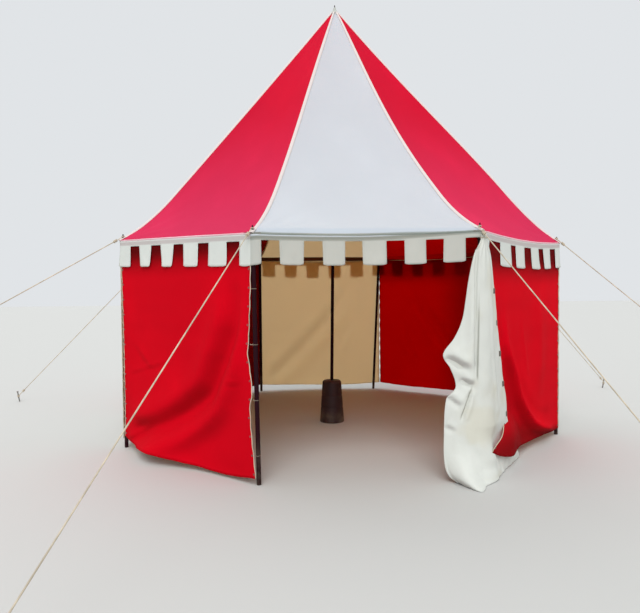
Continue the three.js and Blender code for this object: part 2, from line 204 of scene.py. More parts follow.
FRONT_RIGHT_EDGES = (
    (0.07, -0.95, 0.930), (0.235, -0.98, 0.928), (0.33, -0.785, 0.925), (0.42, -0.615, 0.925),
    (0.50, -0.640, 0.925), (0.65, -0.73, 0.925), (0.90, -0.86, 0.925), (1.20, -0.93, 0.928),
    (2.03, -0.935, 0.935))
# How far the curtain lifts that corner, between which heights the lift ends, and where and how wide it is.
CORNER_LIFT = 0.100
CORNER_LIFT_END = (0.30, 0.55)
CORNER_LIFT_MIDDLE = (-0.75, 0.20)
CORNER_LIFT_REACH = (0.70, 0.45)

# The door curtain in level lines: height, left and right end from the corner, and how far it stands out.
CURTAIN_LEVELS = (
    (0.004, -0.262, 0.760, 0.336), (0.050, -0.318, 0.740, 0.270), (0.115, -0.345, 0.660, 0.200),
    (0.235, -0.353, 0.560, 0.125), (0.414, -0.347, 0.435, 0.092), (0.607, -0.337, 0.400, 0.074),
    (0.696, -0.312, 0.378, 0.067), (0.776, -0.243, 0.355, 0.062), (0.933, -0.288, 0.308, 0.060),
    (1.045, -0.348, 0.282, 0.058), (1.184, -0.253, 0.255, 0.054), (1.331, -0.186, 0.225, 0.050),
    (1.493, -0.156, 0.195, 0.046), (1.670, -0.131, 0.160, 0.041), (1.862, -0.088, 0.112, 0.034),
    (1.985, -0.028, 0.056, 0.020), (2.045, -0.018, 0.040, 0.014),
)
CURTAIN_CORNER = CORNERS.index("front_right")
CURTAIN_SIZE = (1.80, 1.95)
# How full the curtain's front stands: rows of the height's values at these shares of its width.
CURTAIN_SPOTS = (0.0, 0.12, 0.25, 0.50, 0.75, 1.0)
CURTAIN_FULLNESS = (
    (0.0, 0.30, 1.00, 0.42, 0.20, 0.08, 0.00), (0.115, 0.35, 0.95, 0.75, 0.28, 0.20, 0.10),
    (0.235, 0.42, 0.85, 1.00, 0.40, 0.34, 0.25), (0.340, 0.45, 0.80, 1.00, 0.50, 0.38, 0.28),
    (0.450, 0.45, 0.78, 1.00, 0.85, 0.62, 0.34),
)
CURTAIN_FOLDS = (
    Fold(((-0.050, 2.00), (-0.072, 1.70), (-0.078, 1.40), (-0.084, 1.10), (-0.086, 0.82)),
         ((0.0, -0.022, 0.009), (-0.040, 0.010, 0.028), (0.030, 0.006, 0.02)), 0.1, 0.15),
    Fold(
        ((-0.33, 1.030), (-0.22, 0.955), (-0.10, 0.915)),
        ((0.0, -0.026, 0.030), (0.06, 0.020, 0.045)), 0.15, 0.4),
    Fold(
        ((-0.22, 0.840), (-0.15, 0.800), (-0.085, 0.790)),
        ((0.0, -0.032, 0.022), (0.05, 0.016, 0.03)), 0.3, 0.3),
    Fold(
        ((-0.125, 0.77), (-0.150, 0.66), (-0.215, 0.50)),
        ((0.0, -0.022, 0.011), (0.03, 0.010, 0.02)), 0.2, 0.2),
    Fold(
        ((-0.33, 0.70), (-0.27, 0.655), (-0.21, 0.60)),
        ((0.0, -0.024, 0.022), (0.05, 0.018, 0.035)), 0.15, 0.4),
    Fold(
        ((-0.345, 0.455), (-0.30, 0.43), (-0.24, 0.41)),
        ((0.0, -0.012, 0.018), (0.04, 0.010, 0.03)), 0.2, 0.5),
    Fold(
        ((0.02, 1.98), (0.05, 1.60), (0.09, 1.10), (0.15, 0.60), (0.20, 0.30)),
        ((0.0, 0.010, 0.03),), 0.15, 0.4),
    Fold(
        ((-0.10, 0.42), (-0.02, 0.26), (0.10, 0.10)),
        ((0.0, 0.014, 0.05), (-0.09, -0.012, 0.05)), 0.4, 0.3),
)
TOGGLE_HEIGHTS = (1.569, 1.294, 1.027, 0.755, 0.482)


def paint(red, green, blue):
    """A colour of a screen, 0 to 255, as the linear colour that the shaders use."""
    parts = [value / 255 for value in (red, green, blue)]
    return tuple(part / 12.92 if part <= 0.04045 else ((part + 0.055) / 1.055) ** 2.4 for part in parts)


def length_property(name, description, default, least):
    return FloatProperty(name=name, description=description, default=default, min=least, unit="LENGTH")


class TentSizes(PropertyGroup):
    """Sizes of the tent's cloths, cords and trim."""

    cloth_thickness: length_property("Cloth Thickness", "Thickness of the canvas", 0.002, 0.0005)
    tape_width: length_property("Hip Tape Width", "Width of the tape over each seam of the roof", 0.042, 0.01)
    roll_diameter: length_property(
        "Hem Roll Diameter", "Thickness of the roll at the roof's hem", 0.016, 0.005)
    flap_scatter: FloatProperty(
        name="Flap Scatter", description="How unevenly the valance's flaps were cut and hang", default=1.0,
        min=0.0, max=2.0, subtype="FACTOR")
    rope_diameter: length_property("Guy Rope Diameter", "Thickness of the guy ropes", 0.010, 0.004)
    lacing_diameter: length_property(
        "Lacing Diameter", "Thickness of the cord that laces the walls", 0.0035, 0.002)
    rope_lay: length_property("Rope Lay", "Length of one turn of a strand round the rope", 0.036, 0.01)
    turned_steps: IntProperty(
        name="Turned Steps", description="Steps round each pole and peg", default=32, min=12, max=96)


def colour_property(name, description, *colour):
    return FloatVectorProperty(name=name, description=description, subtype="COLOR", default=paint(*colour))


class TentColours(PropertyGroup):
    """Colours of the tent's finishes."""

    red_roof: colour_property("Roof Red", "Red canvas of the roof", 238, 22, 60)
    # Painted sheen: the roof's red is paler and pinker towards its hem, where the sky's reflection shows.
    sheen_red: colour_property("Faded Red", "Red canvas of the roof near its hem", 246, 60, 106)
    white_roof: colour_property("Roof White", "White canvas of the roof", 220, 229, 238)
    red_wall: colour_property("Wall Red", "Red canvas of the walls", 247, 0, 30)
    white_wall: colour_property("Wall White", "White canvas of the walls", 240, 243, 238)
    curtain_white: colour_property("Curtain White", "White canvas of the door curtain", 226, 228, 221)
    # Painted shade: the valance on the white faces is painted darker than the same white cloth on the red
    # faces.
    valance_white: colour_property("Valance White", "White canvas of the valance", 203, 206, 199)
    side_valance: colour_property(
        "Side Valance", "White canvas of the valance on the red faces", 226, 230, 224)
    hem_tape: colour_property("Hem Tape", "Tape along the hem of the red roof cloths", 252, 202, 212)
    # Painted shade: the roll of white roof cloth is painted grey, much darker than the roof.
    white_roll: colour_property("Hem Roll", "Roll along the hem of the white roof cloths", 146, 154, 147)
    # Painted shade under the rolled hem of the white roof cloths.
    hem_underside_shade: colour_property(
        "Hem Shade", "Underside of the rolled hem of the white roof cloths", 150, 156, 148)
    hip_tape: colour_property("Hip Tape", "Tape over the seams of the roof", 236, 224, 220)
    inside_white: colour_property("Inside White", "White canvas seen from inside", 255, 228, 178)
    inside_red: colour_property("Inside Red", "Red canvas seen from inside", 232, 6, 10)
    rope_cream: colour_property("Rope", "Guy ropes and lacing", 222, 208, 184)
    pole_black: colour_property("Pole", "Paint of the poles", 38, 6, 18)
    drum_maroon: colour_property("Base Drum", "Drum under the centre pole", 48, 20, 22)
    bare_steel: colour_property("Steel", "Eyelets and pegs", 128, 126, 122)
    dark_leather: colour_property("Toggle Leather", "Tabs on the curtain's edge", 92, 76, 70)


# Small numbers and curves

def lerp(low, high, share):
    return low + (high - low) * share


def smooth_share(value, low=0.0, high=1.0):
    """0 below low, 1 above high, and a soft step between them."""
    share = min(1.0, max(0.0, (value - low) / (high - low)))
    return share * share * (3 - 2 * share)


def bell(distance, width):
    """1 at no distance, falling away smoothly over the width."""
    return math.exp(-(distance / width) ** 2)


def wander(*place):
    """A smooth random value from about -1 to 1."""
    return noise.noise(Vector(place))


def table_row(rows, key):
    """Smooth values between the rows of a table sorted by its first column."""
    key = min(max(key, rows[0][0]), rows[-1][0])
    index = max(position for position, row in enumerate(rows[:-1]) if row[0] <= key)
    before, low, high, after = (rows[min(max(index + step, 0), len(rows) - 1)] for step in (-1, 0, 1, 2))
    gap = high[0] - low[0]
    share = (key - low[0]) / gap
    values = []
    for column in range(1, len(low)):
        rise_low = (high[column] - before[column]) / (high[0] - before[0]) * gap
        rise_high = (after[column] - low[column]) / (after[0] - low[0]) * gap
        values.append(
            (2 * share ** 3 - 3 * share ** 2 + 1) * low[column]
            + (share ** 3 - 2 * share ** 2 + share) * rise_low
            + (3 * share ** 2 - 2 * share ** 3) * high[column]
            + (share ** 3 - share ** 2) * rise_high)
    return values


def smooth_path(points, steps):
    """A smooth curve through the points, with that many steps between each two."""
    points = [Vector(point) for point in points]
    spread = [2 * points[0] - points[1], *points, 2 * points[-1] - points[-2]]
    path = []
    for before, low, high, after in zip(spread, spread[1:], spread[2:], spread[3:]):
        for step in range(steps):
            share = step / steps
            path.append(0.5 * (
                2 * low + (high - before) * share
                + (2 * before - 5 * low + 4 * high - after) * share ** 2
                + (3 * low - before - 3 * high + after) * share ** 3))
    path.append(points[-1])
    return path


def fold_push(folds, along, height):
    """How far the folds push the cloth out at a place on it."""
    push = 0.0
    for line, lobes, swell, fade in folds:
        reach = max(abs(offset) + 2.5 * width for offset, _, width in lobes)
        if not (min(spot[0] for spot in line) - reach < along < max(spot[0] for spot in line) + reach
                and min(spot[1] for spot in line) - reach < height < max(spot[1] for spot in line) + reach):
            continue
        nearest, side, walked, total = reach * 2, 1.0, 0.0, 0.0
        for (x, y), (next_x, next_y) in zip(line, line[1:]):
            step_x, step_y = next_x - x, next_y - y
            length = math.hypot(step_x, step_y)
            share = ((along - x) * step_x + (height - y) * step_y) / length ** 2
            share = min(1.0, max(0.0, share))
            distance = math.hypot(along - x - share * step_x, height - y - share * step_y)
            if distance < nearest:
                nearest = distance
                side = math.copysign(1.0, step_x * (height - y) - step_y * (along - x))
                walked = total + share * length
            total += length
        share = walked / total
        strength = smooth_share(share, 0.0, swell) * smooth_share(1 - share, 0.0, fade)
        push += strength * sum(lobe * bell(nearest * side - offset, width) for offset, lobe, width in lobes)
    return push


def eased(folds):
    """The same folds with smooth lines."""
    def soft(line):
        return tuple(tuple(spot)[:2] for spot in smooth_path([(*spot, 0) for spot in line], 3))

    return tuple(fold._replace(line=soft(fold.line)) for fold in folds)


# Places on the tent

def on_face(index, along, out, height):
    """A place on a face: along to the right as seen from outside, out from the middle of the tent."""
    angle = index * FACE_ANGLE
    return Vector((along * math.cos(angle) + out * math.sin(angle),
                   along * math.sin(angle) - out * math.cos(angle), height))


def on_outline(distance, out, height):
    """A place by the hem's outline, walked to the right from the middle of the front face."""
    index = math.floor(distance / SIDE_LENGTH + 0.5)
    along = distance - index * SIDE_LENGTH
    nearness = max(0.0, 1 - (SIDE_LENGTH / 2 - abs(along)) / CORNER_EASING)
    corner = math.copysign(HALF_ANGLE, along)
    cut = math.sin(HALF_ANGLE) * CORNER_EASING / 2 * nearness ** 2
    turn = corner * nearness
    return on_face(
        index % SIDES, along + out * math.sin(turn) - cut * math.sin(corner),
        HEM_APOTHEM + out * math.cos(turn) - cut * math.cos(corner), height)


def near_corner(index, across, out, height):
    """A place by a corner: across to the right of it along the outline."""
    return on_outline((index - 0.5) * SIDE_LENGTH + across, out, height)


def facing(place):
    """The index of the face that a place is in front of."""
    return round((math.atan2(place.y, place.x) + math.pi / 2) / FACE_ANGLE) % SIDES


def box_middle(node):
    return sum(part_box(node), Vector()) / 2


def corner_direction(index):
    return on_face(index, -math.sin(HALF_ANGLE), math.cos(HALF_ANGLE), 0.0)


def hip_height(reach):
    """Height of the roof's top at a corner of the octagon, that far from the middle."""
    height = APEX_HEIGHT - HIP_SLOPE * reach
    past = reach - FLARE_START
    if past > 0:
        span = EAVE_REACH - FLARE_START
        height += (EAVE_HEIGHT - APEX_HEIGHT + HIP_SLOPE * EAVE_REACH) * (past / span) ** 2
    return height


def corner_rise(index):
    return CORNER_RISES.get(CORNERS[index % SIDES], 0.0)


def hip_slack(index, reach):
    """How far the hip of a corner hangs below a tight, even one."""
    slack, deepest = HIP_SLACKS.get(CORNERS[index % SIDES], (0.0, 0.5))
    along = max(0.0, (reach - SLACK_START) / (EAVE_REACH - SLACK_START))
    share = along ** (math.log(0.5) / math.log(deepest))
    return slack * max(0.0, math.sin(math.pi * share)) ** SLACK_ROUNDING - corner_rise(index) * along ** 3


def of_face(values, distance):
    """The value of the face at a distance along the outline, eased from face to face at the corners."""
    index = math.floor(distance / SIDE_LENGTH)
    share = smooth_share(distance / SIDE_LENGTH - index, 0.46, 0.54)
    return lerp(values[index % SIDES], values[(index + 1) % SIDES], share)


def hem_height(distance):
    """Height of the roof's hem, which sags between the corners."""
    index = math.floor(distance / SIDE_LENGTH + 0.5)
    share = 2 * (distance / SIDE_LENGTH - index)
    rise = lerp(corner_rise(index), corner_rise(index + 1), (1 + share) / 2)
    return EAVE_HEIGHT + rise - HEM_SAGS[index % SIDES] * (1 - share ** 2)


def up_the_roof(reach):
    """How far up a roof cloth from its hem a reach lies."""
    return (EAVE_REACH - reach) * ROOF_CLOTH_LENGTH / EAVE_REACH


def roof_place(index, share, reach, lift=0.0):
    """The top of a roof cloth, share from -1 on its left hip to 1 on its right one."""
    half = reach * math.sin(HALF_ANGLE)
    middle = 1 - share * share
    inside = (1 - abs(share)) * half
    upward = up_the_roof(reach)
    away = math.hypot(inside, upward)
    crease = CREASE_DEPTH * (away / CREASE_GROWTH) * math.exp(-away / CREASE_FADE)
    crease *= math.cos(CREASE_COUNT * math.atan2(upward, inside))
    pucker = PUCKER_DEPTH * bell(inside, PUCKER_WIDTH)
    pucker *= math.sin(upward * PUCKER_TURNS + 3 * wander(index, upward * 2, 0))
    billow = BILLOW_DEPTH * middle * wander(share * 1.5, upward * 0.9, index * 3.7)
    lift += crease + middle * pucker + billow - ROOF_HOLLOW * middle * math.sin(math.pi * reach / EAVE_REACH)
    tilt = math.atan2(HIP_SLOPE, math.cos(HALF_ANGLE))
    slack = lerp(hip_slack(index, reach), hip_slack(index + 1, reach), (1 + share) / 2)
    height = hip_height(reach) - slack - HEM_SAGS[index] * (reach / EAVE_REACH) ** 4 * middle
    out = reach * math.cos(HALF_ANGLE) + lift * math.sin(tilt)
    return on_face(index, half * share, out, height + lift * math.cos(tilt))


# Making meshes

def woven_grid(mesh, columns, rows, place, keep=None):
    """Adds a grid of cloth, and gives its vertices and faces.

    place(across, up) gives each point, its spot on the flat cloth and its distance from the cloth's edge.
    keep(across, up) says which faces stay.
    """
    uv_layer = mesh.loops.layers.uv.get("cloth") or mesh.loops.layers.uv.new("cloth")
    edge_layer = mesh.verts.layers.float.get("edge") or mesh.verts.layers.float.new("edge")
    verts = bmesh.ops.create_grid(mesh, x_segments=columns, y_segments=rows, size=0.5)["verts"]
    faces = {face for vert in verts for face in vert.link_faces}
    if keep:
        cut = [face for face in faces if not keep(*(part + 0.5 for part in face.calc_center_median()[:2]))]
        faces.difference_update(cut)
        bmesh.ops.delete(mesh, geom=cut, context="FACES")
        verts = [vert for vert in verts if vert.is_valid]
    spots = {}
    for vert in verts:
        vert.co, spots[vert], vert[edge_layer] = place(vert.co.x + 0.5, vert.co.y + 0.5)
    for face in faces:
        face.smooth = True
        for loop in face.loops:
            loop[uv_layer].uv = spots[loop.vert]
    return verts, faces


def cloth_mesh(columns, rows, place, keep=None):
    """A sheet of cloth that keeps how far each place of it faces up or down, which the canvas uses for
    painted shade on undersides.
    """
    mesh = bmesh.new()
    facing_layer = mesh.verts.layers.float.new("facing_up")
    woven_grid(mesh, columns, rows, place, keep)
    mesh.normal_update()
    for vert in mesh.verts:
        vert[facing_layer] = vert.normal.z
    return mesh


STRANDS = 3
STRAND_GROOVE = 0.16


def add_cord(mesh, path, radius, sides, lay=0.0, level=False):
    """Adds a round cord along a path.

    A lay is the length of one turn of its strands, and level keeps its first side upward.
    """
    closed = (path[0] - path[-1]).length < SAME_PLACE
    last = len(path) - 1
    frames = []
    walked = 0.0
    side = None
    for index, point in enumerate(path):
        ahead = path[1] if closed and index == last else path[min(index + 1, last)]
        behind = path[last - 1] if closed and index == 0 else path[max(index - 1, 0)]
        tangent = (ahead - behind).normalized()
        if side is None or level:
            side = UP if abs(tangent.z) < 0.9 else Vector((1, 0, 0))
        side = (side - tangent * side.dot(tangent)).normalized()
        walked += (point - path[max(index - 1, 0)]).length
        frames.append((point, side, tangent.cross(side), walked))

    def place(around, forward):
        point, side, other, length = frames[round(forward * last)]
        angle = 2 * math.pi * around
        bulge = radius
        if lay:
            turn = math.cos(STRANDS * angle / 2 + math.pi * STRANDS * length / lay)
            bulge *= 1 - STRAND_GROOVE + STRAND_GROOVE * abs(turn)
        spot = point + bulge * (math.cos(angle) * side + math.sin(angle) * other)
        return spot, (2 * math.pi * radius * around, length), 1.0

    verts, faces = woven_grid(mesh, sides, last, place)
    bmesh.ops.remove_doubles(mesh, verts=verts, dist=SAME_PLACE)
    faces = {face for face in faces if face.is_valid}
    if not closed:
        ends = [edge for edge in {edge for face in faces for edge in face.edges} if edge.is_boundary]
        faces.update(bmesh.ops.holes_fill(mesh, edges=ends, sides=0)["faces"])
    bmesh.ops.recalc_face_normals(mesh, faces=list(faces))


def coil_path(middle, axis, outward, radius, turns, rise, start, steps=14):
    """Turns about an axis from a start angle, measured from the outward direction."""
    outward = (outward - axis * outward.dot(axis)).normalized()
    sideways = axis.cross(outward)
    count = round(abs(turns) * steps)
    path = []
    for index in range(count + 1):
        angle = start + 2 * math.pi * turns * index / count
        lift = rise * (index / count - 0.5)
        path.append(middle + axis * lift + radius * (math.cos(angle) * outward + math.sin(angle) * sideways))
    return path


def add_turned(mesh, profile, steps, place=None):
    """Adds a solid turned about the upright axis from a profile of (radius, height), and puts it in place."""
    start = [mesh.verts.new((radius, 0, height)) for radius, height in profile]
    edges = [mesh.edges.new(pair) for pair in zip(start, start[1:])]
    known = set(mesh.faces)
    bmesh.ops.spin(
        mesh, geom=start + edges, axis=UP, cent=(0, 0, 0), dvec=(0, 0, 0), angle=2 * math.pi,
        steps=steps, use_merge=True, use_duplicate=False)
    faces = [face for face in mesh.faces if face not in known]
    verts = list({vert for face in faces for vert in face.verts})
    bmesh.ops.remove_doubles(mesh, verts=verts, dist=SAME_PLACE)
    faces = [face for face in mesh.faces if face not in known]
    bmesh.ops.recalc_face_normals(mesh, faces=faces)
    for face in faces:
        face.smooth = True
    if place:
        bmesh.ops.transform(mesh, matrix=place, verts=list({vert for face in faces for vert in face.verts}))
    return faces


def softened(profile, radius):
    """The profile with its inner corners cut back by about the radius, in three points each."""
    soft = [profile[0]]
    for before, corner, after in zip(profile, profile[1:], profile[2:]):
        corner = Vector(corner)
        to_before, to_after = Vector(before) - corner, Vector(after) - corner
        cut = min(radius, to_before.length / 2.1, to_after.length / 2.1)
        low, high = corner + to_before.normalized() * cut, corner + to_after.normalized() * cut
        soft += [tuple(low), tuple((low + high + 2 * corner) / 4), tuple(high)]
    return [*soft, profile[-1]]


# Finishes

class Value:
    """A socket of a finish, so that sums on it add Math nodes."""

    def __init__(self, finish, socket):
        self.finish = finish
        self.socket = socket

    def maths(self, operation, *others):
        return self.finish.node("ShaderNodeMath", {"operation": operation}, dict(enumerate((self, *others))))

    def __add__(self, other):
        return self.maths("ADD", other)

    __radd__ = __add__

    def __sub__(self, other):
        return self.maths("SUBTRACT", other)

    def __rsub__(self, other):
        return self * -1 + other

    def __mul__(self, other):
        return self.maths("MULTIPLY", other)

    __rmul__ = __mul__

    def __abs__(self):
        return self.maths("ABSOLUTE")

    def __mod__(self, other):
        return self.maths("FLOORED_MODULO", other)

    def step(self, low, high):
        """0 below low and 1 above high, with a soft step between; low above high turns it round."""
        if low > high:
            return 1 - self.step(high, low)
        inputs = {"Value": self, "From Min": low, "From Max": high}
        return self.finish.node("ShaderNodeMapRange", {"interpolation_type": "SMOOTHSTEP"}, inputs)


class Finish:
    """One material and the nodes that make it, with the tent's colours."""

    def __init__(self, name, colours):
        self.colours = colours
        self.material = bpy.data.materials.new(name)
        self.material.use_nodes = True
        self.material.node_tree.nodes.clear()

    def node(self, kind, settings, inputs, output=0):
        """Adds a node: its settings first, then the values and links of its sockets."""
        made = self.material.node_tree.nodes.new(kind)
        for setting, value in settings.items():
            setattr(made, setting, value)
        for socket, value in inputs.items():
            if isinstance(value, Value):
                self.material.node_tree.links.new(value.socket, made.inputs[socket])
            else:
                made.inputs[socket].default_value = value
        return Value(self, made.outputs[output]) if made.outputs else None

    def attribute(self, name):
        return self.node("ShaderNodeAttribute", {"attribute_name": name}, {}, "Fac")

    def parts(self, vector):
        split = self.node("ShaderNodeSeparateXYZ", {}, {0: vector}).socket.node
        return [Value(self, socket) for socket in split.outputs]

    def cloth_spot(self):
        return self.node("ShaderNodeUVMap", {"uv_map": "cloth"}, {})

    def object_spot(self):
        return self.node("ShaderNodeTexCoord", {}, {}, "Object")

    def noise(self, spot, scale, detail, shift=(0, 0, 0), twist=0.0):
        """Smooth noise from 0 to 1, with a scale for each direction."""
        scaled = self.node("ShaderNodeMapping", {}, {"Vector": spot, "Scale": scale, "Location": shift})
        return self.node(
            "ShaderNodeTexNoise", {}, {"Vector": scaled, "Scale": 1.0, "Detail": detail, "Distortion": twist})

    def mixed(self, factor, low, high, blend="MIX"):
        """A colour between two others."""
        low, high = (side if isinstance(side, Value) else (*side, 1) for side in (low, high))
        settings = {"data_type": "RGBA", "blend_type": blend}
        return self.node("ShaderNodeMix", settings, {0: factor, 6: low, 7: high}, 2)

    def bumped(self, height):
        """A normal from a height in metres."""
        return self.node("ShaderNodeBump", {}, {"Strength": 1.0, "Distance": 1.0, "Height": height})

    def surface(self, inputs):
        return self.node("ShaderNodeBsdfPrincipled", {}, inputs)

    def done(self, shader):
        self.node("ShaderNodeOutputMaterial", {}, {"Surface": shader})
        return self.material


# Canvas and other finishes

HEM_WIDTH = 0.022
HEM_EDGE = 0.0015
STITCH_INSET = 0.005
STITCH_LENGTH = 0.009
STITCH_GAP = 0.003
OUTER_GLOW = 0.30
INNER_GLOW = 0.90
PALE_LIGHT = (0.97, 0.95, 0.90)
RED_LIGHT = (0.98, 0.02, 0.03)
# Painted shade on the undersides of folds, multiplied into the colour.
UNDERSIDE_SHADE = (0.60, 0.52, 0.55)
# Painted shade where a mask of painted shade falls, multiplied into the colour.
PAINTED_SHADE_TINT = (0.14, 0.07, 0.06)


def canvas(
        finish, colour, dark, crumple, light=None, glow=OUTER_GLOW, patch=None, cover=None, depth=0.0,
        dimmed=1.0):
    """Sewn canvas: threads, crumples and a doubled hem, and some light that shines through.

    Without a light of its own, what shines through has the canvas's colour. A patch paints its colour, and a
    mask of painted shade says where painted shade darkens it and other cloth keeps the light off it. Dimmed
    is how much that mask takes from the light that shines through, and depth is how dark the painted shade on
    the undersides of its folds is, where the cloth faces down.
    """
    colour = getattr(finish.colours, colour)
    spot = finish.cloth_spot()
    across, up, _ = finish.parts(spot)
    edge = finish.attribute("edge")
    threads = finish.noise(spot, (40, 900, 1), 1) + finish.noise(spot, (900, 40, 1), 1)
    mottle = finish.noise(spot, (1.3, 1.1, 1), 4)
    crumples = finish.noise(spot, (9, 7, 1), 3, twist=0.4)
    hem = edge.step(HEM_WIDTH + HEM_EDGE, HEM_WIDTH - HEM_EDGE)
    dash = ((across + up) % STITCH_LENGTH).step(STITCH_GAP / 2, STITCH_GAP)
    stitches = abs(edge - (HEM_WIDTH - STITCH_INSET)).step(0.0024, 0.0008) * dash
    height = threads * 0.0004 + crumples * crumple + hem * 0.0009 - stitches * 0.0007
    shade = (mottle - 0.35).step(0.0, 0.5) * 0.75 + (threads - 1) * 0.5 + 0.1 - stitches * 0.25
    tone = finish.mixed(shade.step(0.0, 1.0), (dark, dark, dark), (1, 1, 1))
    painted = finish.mixed(1.0, patch(finish, colour) if patch else colour, tone, "MULTIPLY")
    # Painted shade: darker where the cloth faces down.
    if depth:
        under = finish.attribute("facing_up").step(0.08, -0.60)
        painted = finish.mixed(under * depth, painted, UNDERSIDE_SHADE, "MULTIPLY")
    # Painted shade where the mask falls, with less light shining through there.
    if cover:
        hidden = cover(finish)
        painted = finish.mixed(hidden, painted, PAINTED_SHADE_TINT, "MULTIPLY")
        glow = glow * (1 - hidden * dimmed)
    surface = finish.surface({
        "Base Color": painted, "Roughness": 0.88, "Normal": finish.bumped(height),
        "Specular IOR Level": 0.08})
    lit = finish.node("ShaderNodeBsdfTranslucent", {}, {"Color": (*(light or colour), 1)})
    return finish.done(finish.node("ShaderNodeMixShader", {}, {0: glow, 1: surface, 2: lit}))


def painted_roof_sheen(finish, colour):
    """The roof's red, paler and pinker towards the hem: a painted sheen of the sky's reflection."""
    height = finish.parts(finish.object_spot())[2]
    # Painted sheen, strongest low on the roof and broken up by noise.
    worn = (height + finish.noise(finish.cloth_spot(), (1.2, 0.8, 1), 3) * 0.3).step(3.9, 2.0)
    return finish.mixed(worn, colour, finish.colours.sheen_red)


def cream_stains(finish, colour):
    """Cream patches where damp has dried in the white cloth."""
    damp = finish.noise(finish.cloth_spot(), (2.6, 2.2, 1), 3, shift=(5, 2, 0)).step(0.50, 0.68)
    return finish.mixed(damp * 0.28, colour, paint(208, 196, 160))


def curtain_stains_and_shade(finish, colour):
    """The curtain's stains, and painted shade beside the fold that hangs straight down from its head and
    along a crease lower down.
    """
    across, _, height = finish.parts(finish.object_spot())
    beside = abs(across - 0.860 - height * 0.030).step(0.011, 0.003)
    fold = beside * height.step(0.82, 0.88) * height.step(1.62, 1.25)
    crease = abs(across - 0.529 - height * 0.404).step(0.010, 0.003)
    fold += crease * height.step(0.50, 0.56) * height.step(0.80, 0.74) * 0.8
    # Painted shade along the fold and the crease, over the stains.
    return finish.mixed(fold * 0.6, cream_stains(finish, colour), paint(118, 118, 104))


def shaded_hem(finish, colour):
    """The white roof, greyer where it begins to roll over the hem: painted shade, fainter towards the right.
    """
    across, up, _ = finish.parts(finish.cloth_spot())
    rolled = up.step(0.055, -0.005) * (1 - across.step(0.2, 0.9) * 0.7)
    return finish.mixed(rolled, colour, paint(168, 176, 170))


def rolled_hem(finish, colour):
    """The valance with the roof's white hem rolled over its top: a band of painted shade, narrow on the
    right.
    """
    across, up, _ = finish.parts(finish.cloth_spot())
    narrow = across.step(0.9, 1.9)
    below = BAND_DEPTHS[0] + FLAP_DROPS[0] - up + narrow * 0.036
    roll = finish.mixed(below.step(0.0, 0.020), finish.colours.white_roof, finish.colours.hem_underside_shade)
    roll = finish.mixed(below.step(0.030, 0.048) * 0.3, roll, colour)
    return finish.mixed(below.step(0.046, 0.060), roll, colour)


def side_band(finish, colour):
    """The valance on the red faces, with the shade of the tape above it."""
    below = BAND_DEPTHS[1] + FLAP_DROPS[1] - finish.parts(finish.cloth_spot())[1]
    shaded = below.step(0.0, 0.018) * below.step(0.062, 0.044)
    return finish.mixed(shaded * 0.7, colour, paint(192, 178, 177))


def behind_valance(finish):
    """How much the valance shades a wall, as painted shade: wholly at its top, and not at all below the
    flaps.
    """
    across, _, height = finish.parts(finish.object_spot())
    return (height + across.step(0.5, 1.0) * 0.10).step(1.70, 1.99)


def shaded_wall(finish):
    """The shade behind the valance, and below the fold that runs to the front right wall's lower corner."""
    across, deep, height = finish.parts(finish.object_spot())
    on_wall = across.step(0.88, 0.93) * deep.step(-0.96, -1.0)
    below_fold = ((across - 1.25) * height).step(0.150, 0.070) * height.step(1.15, 0.50)
    shade = 0.40 + height.step(0.45, 0.15) * 0.40
    return 1 - (1 - behind_valance(finish)) * (1 - on_wall * below_fold * shade)


def shaded_doubled_hem(finish):
    """Painted shade inside where the valance's band doubles the hem, which lets no light through."""
    height = finish.parts(finish.object_spot())[2]
    return height.step(2.040, 2.050) * height.step(2.106, 2.096)


def dark_inside(finish):
    """Painted shade inside: at the doubled hem, and on the red cloths at the sides and by the hem, which get
    less light.
    """
    across, _, height = finish.parts(finish.object_spot())
    unlit = across.step(-0.50, -0.93) * 0.9 + across.step(1.60, 2.05) * 0.6
    by_hem = height.step(1.98, 2.10) * height.step(2.55, 2.10) * 0.4
    return 1 - (1 - shaded_doubled_hem(finish) * 0.35) * (1 - unlit) * (1 - by_hem)


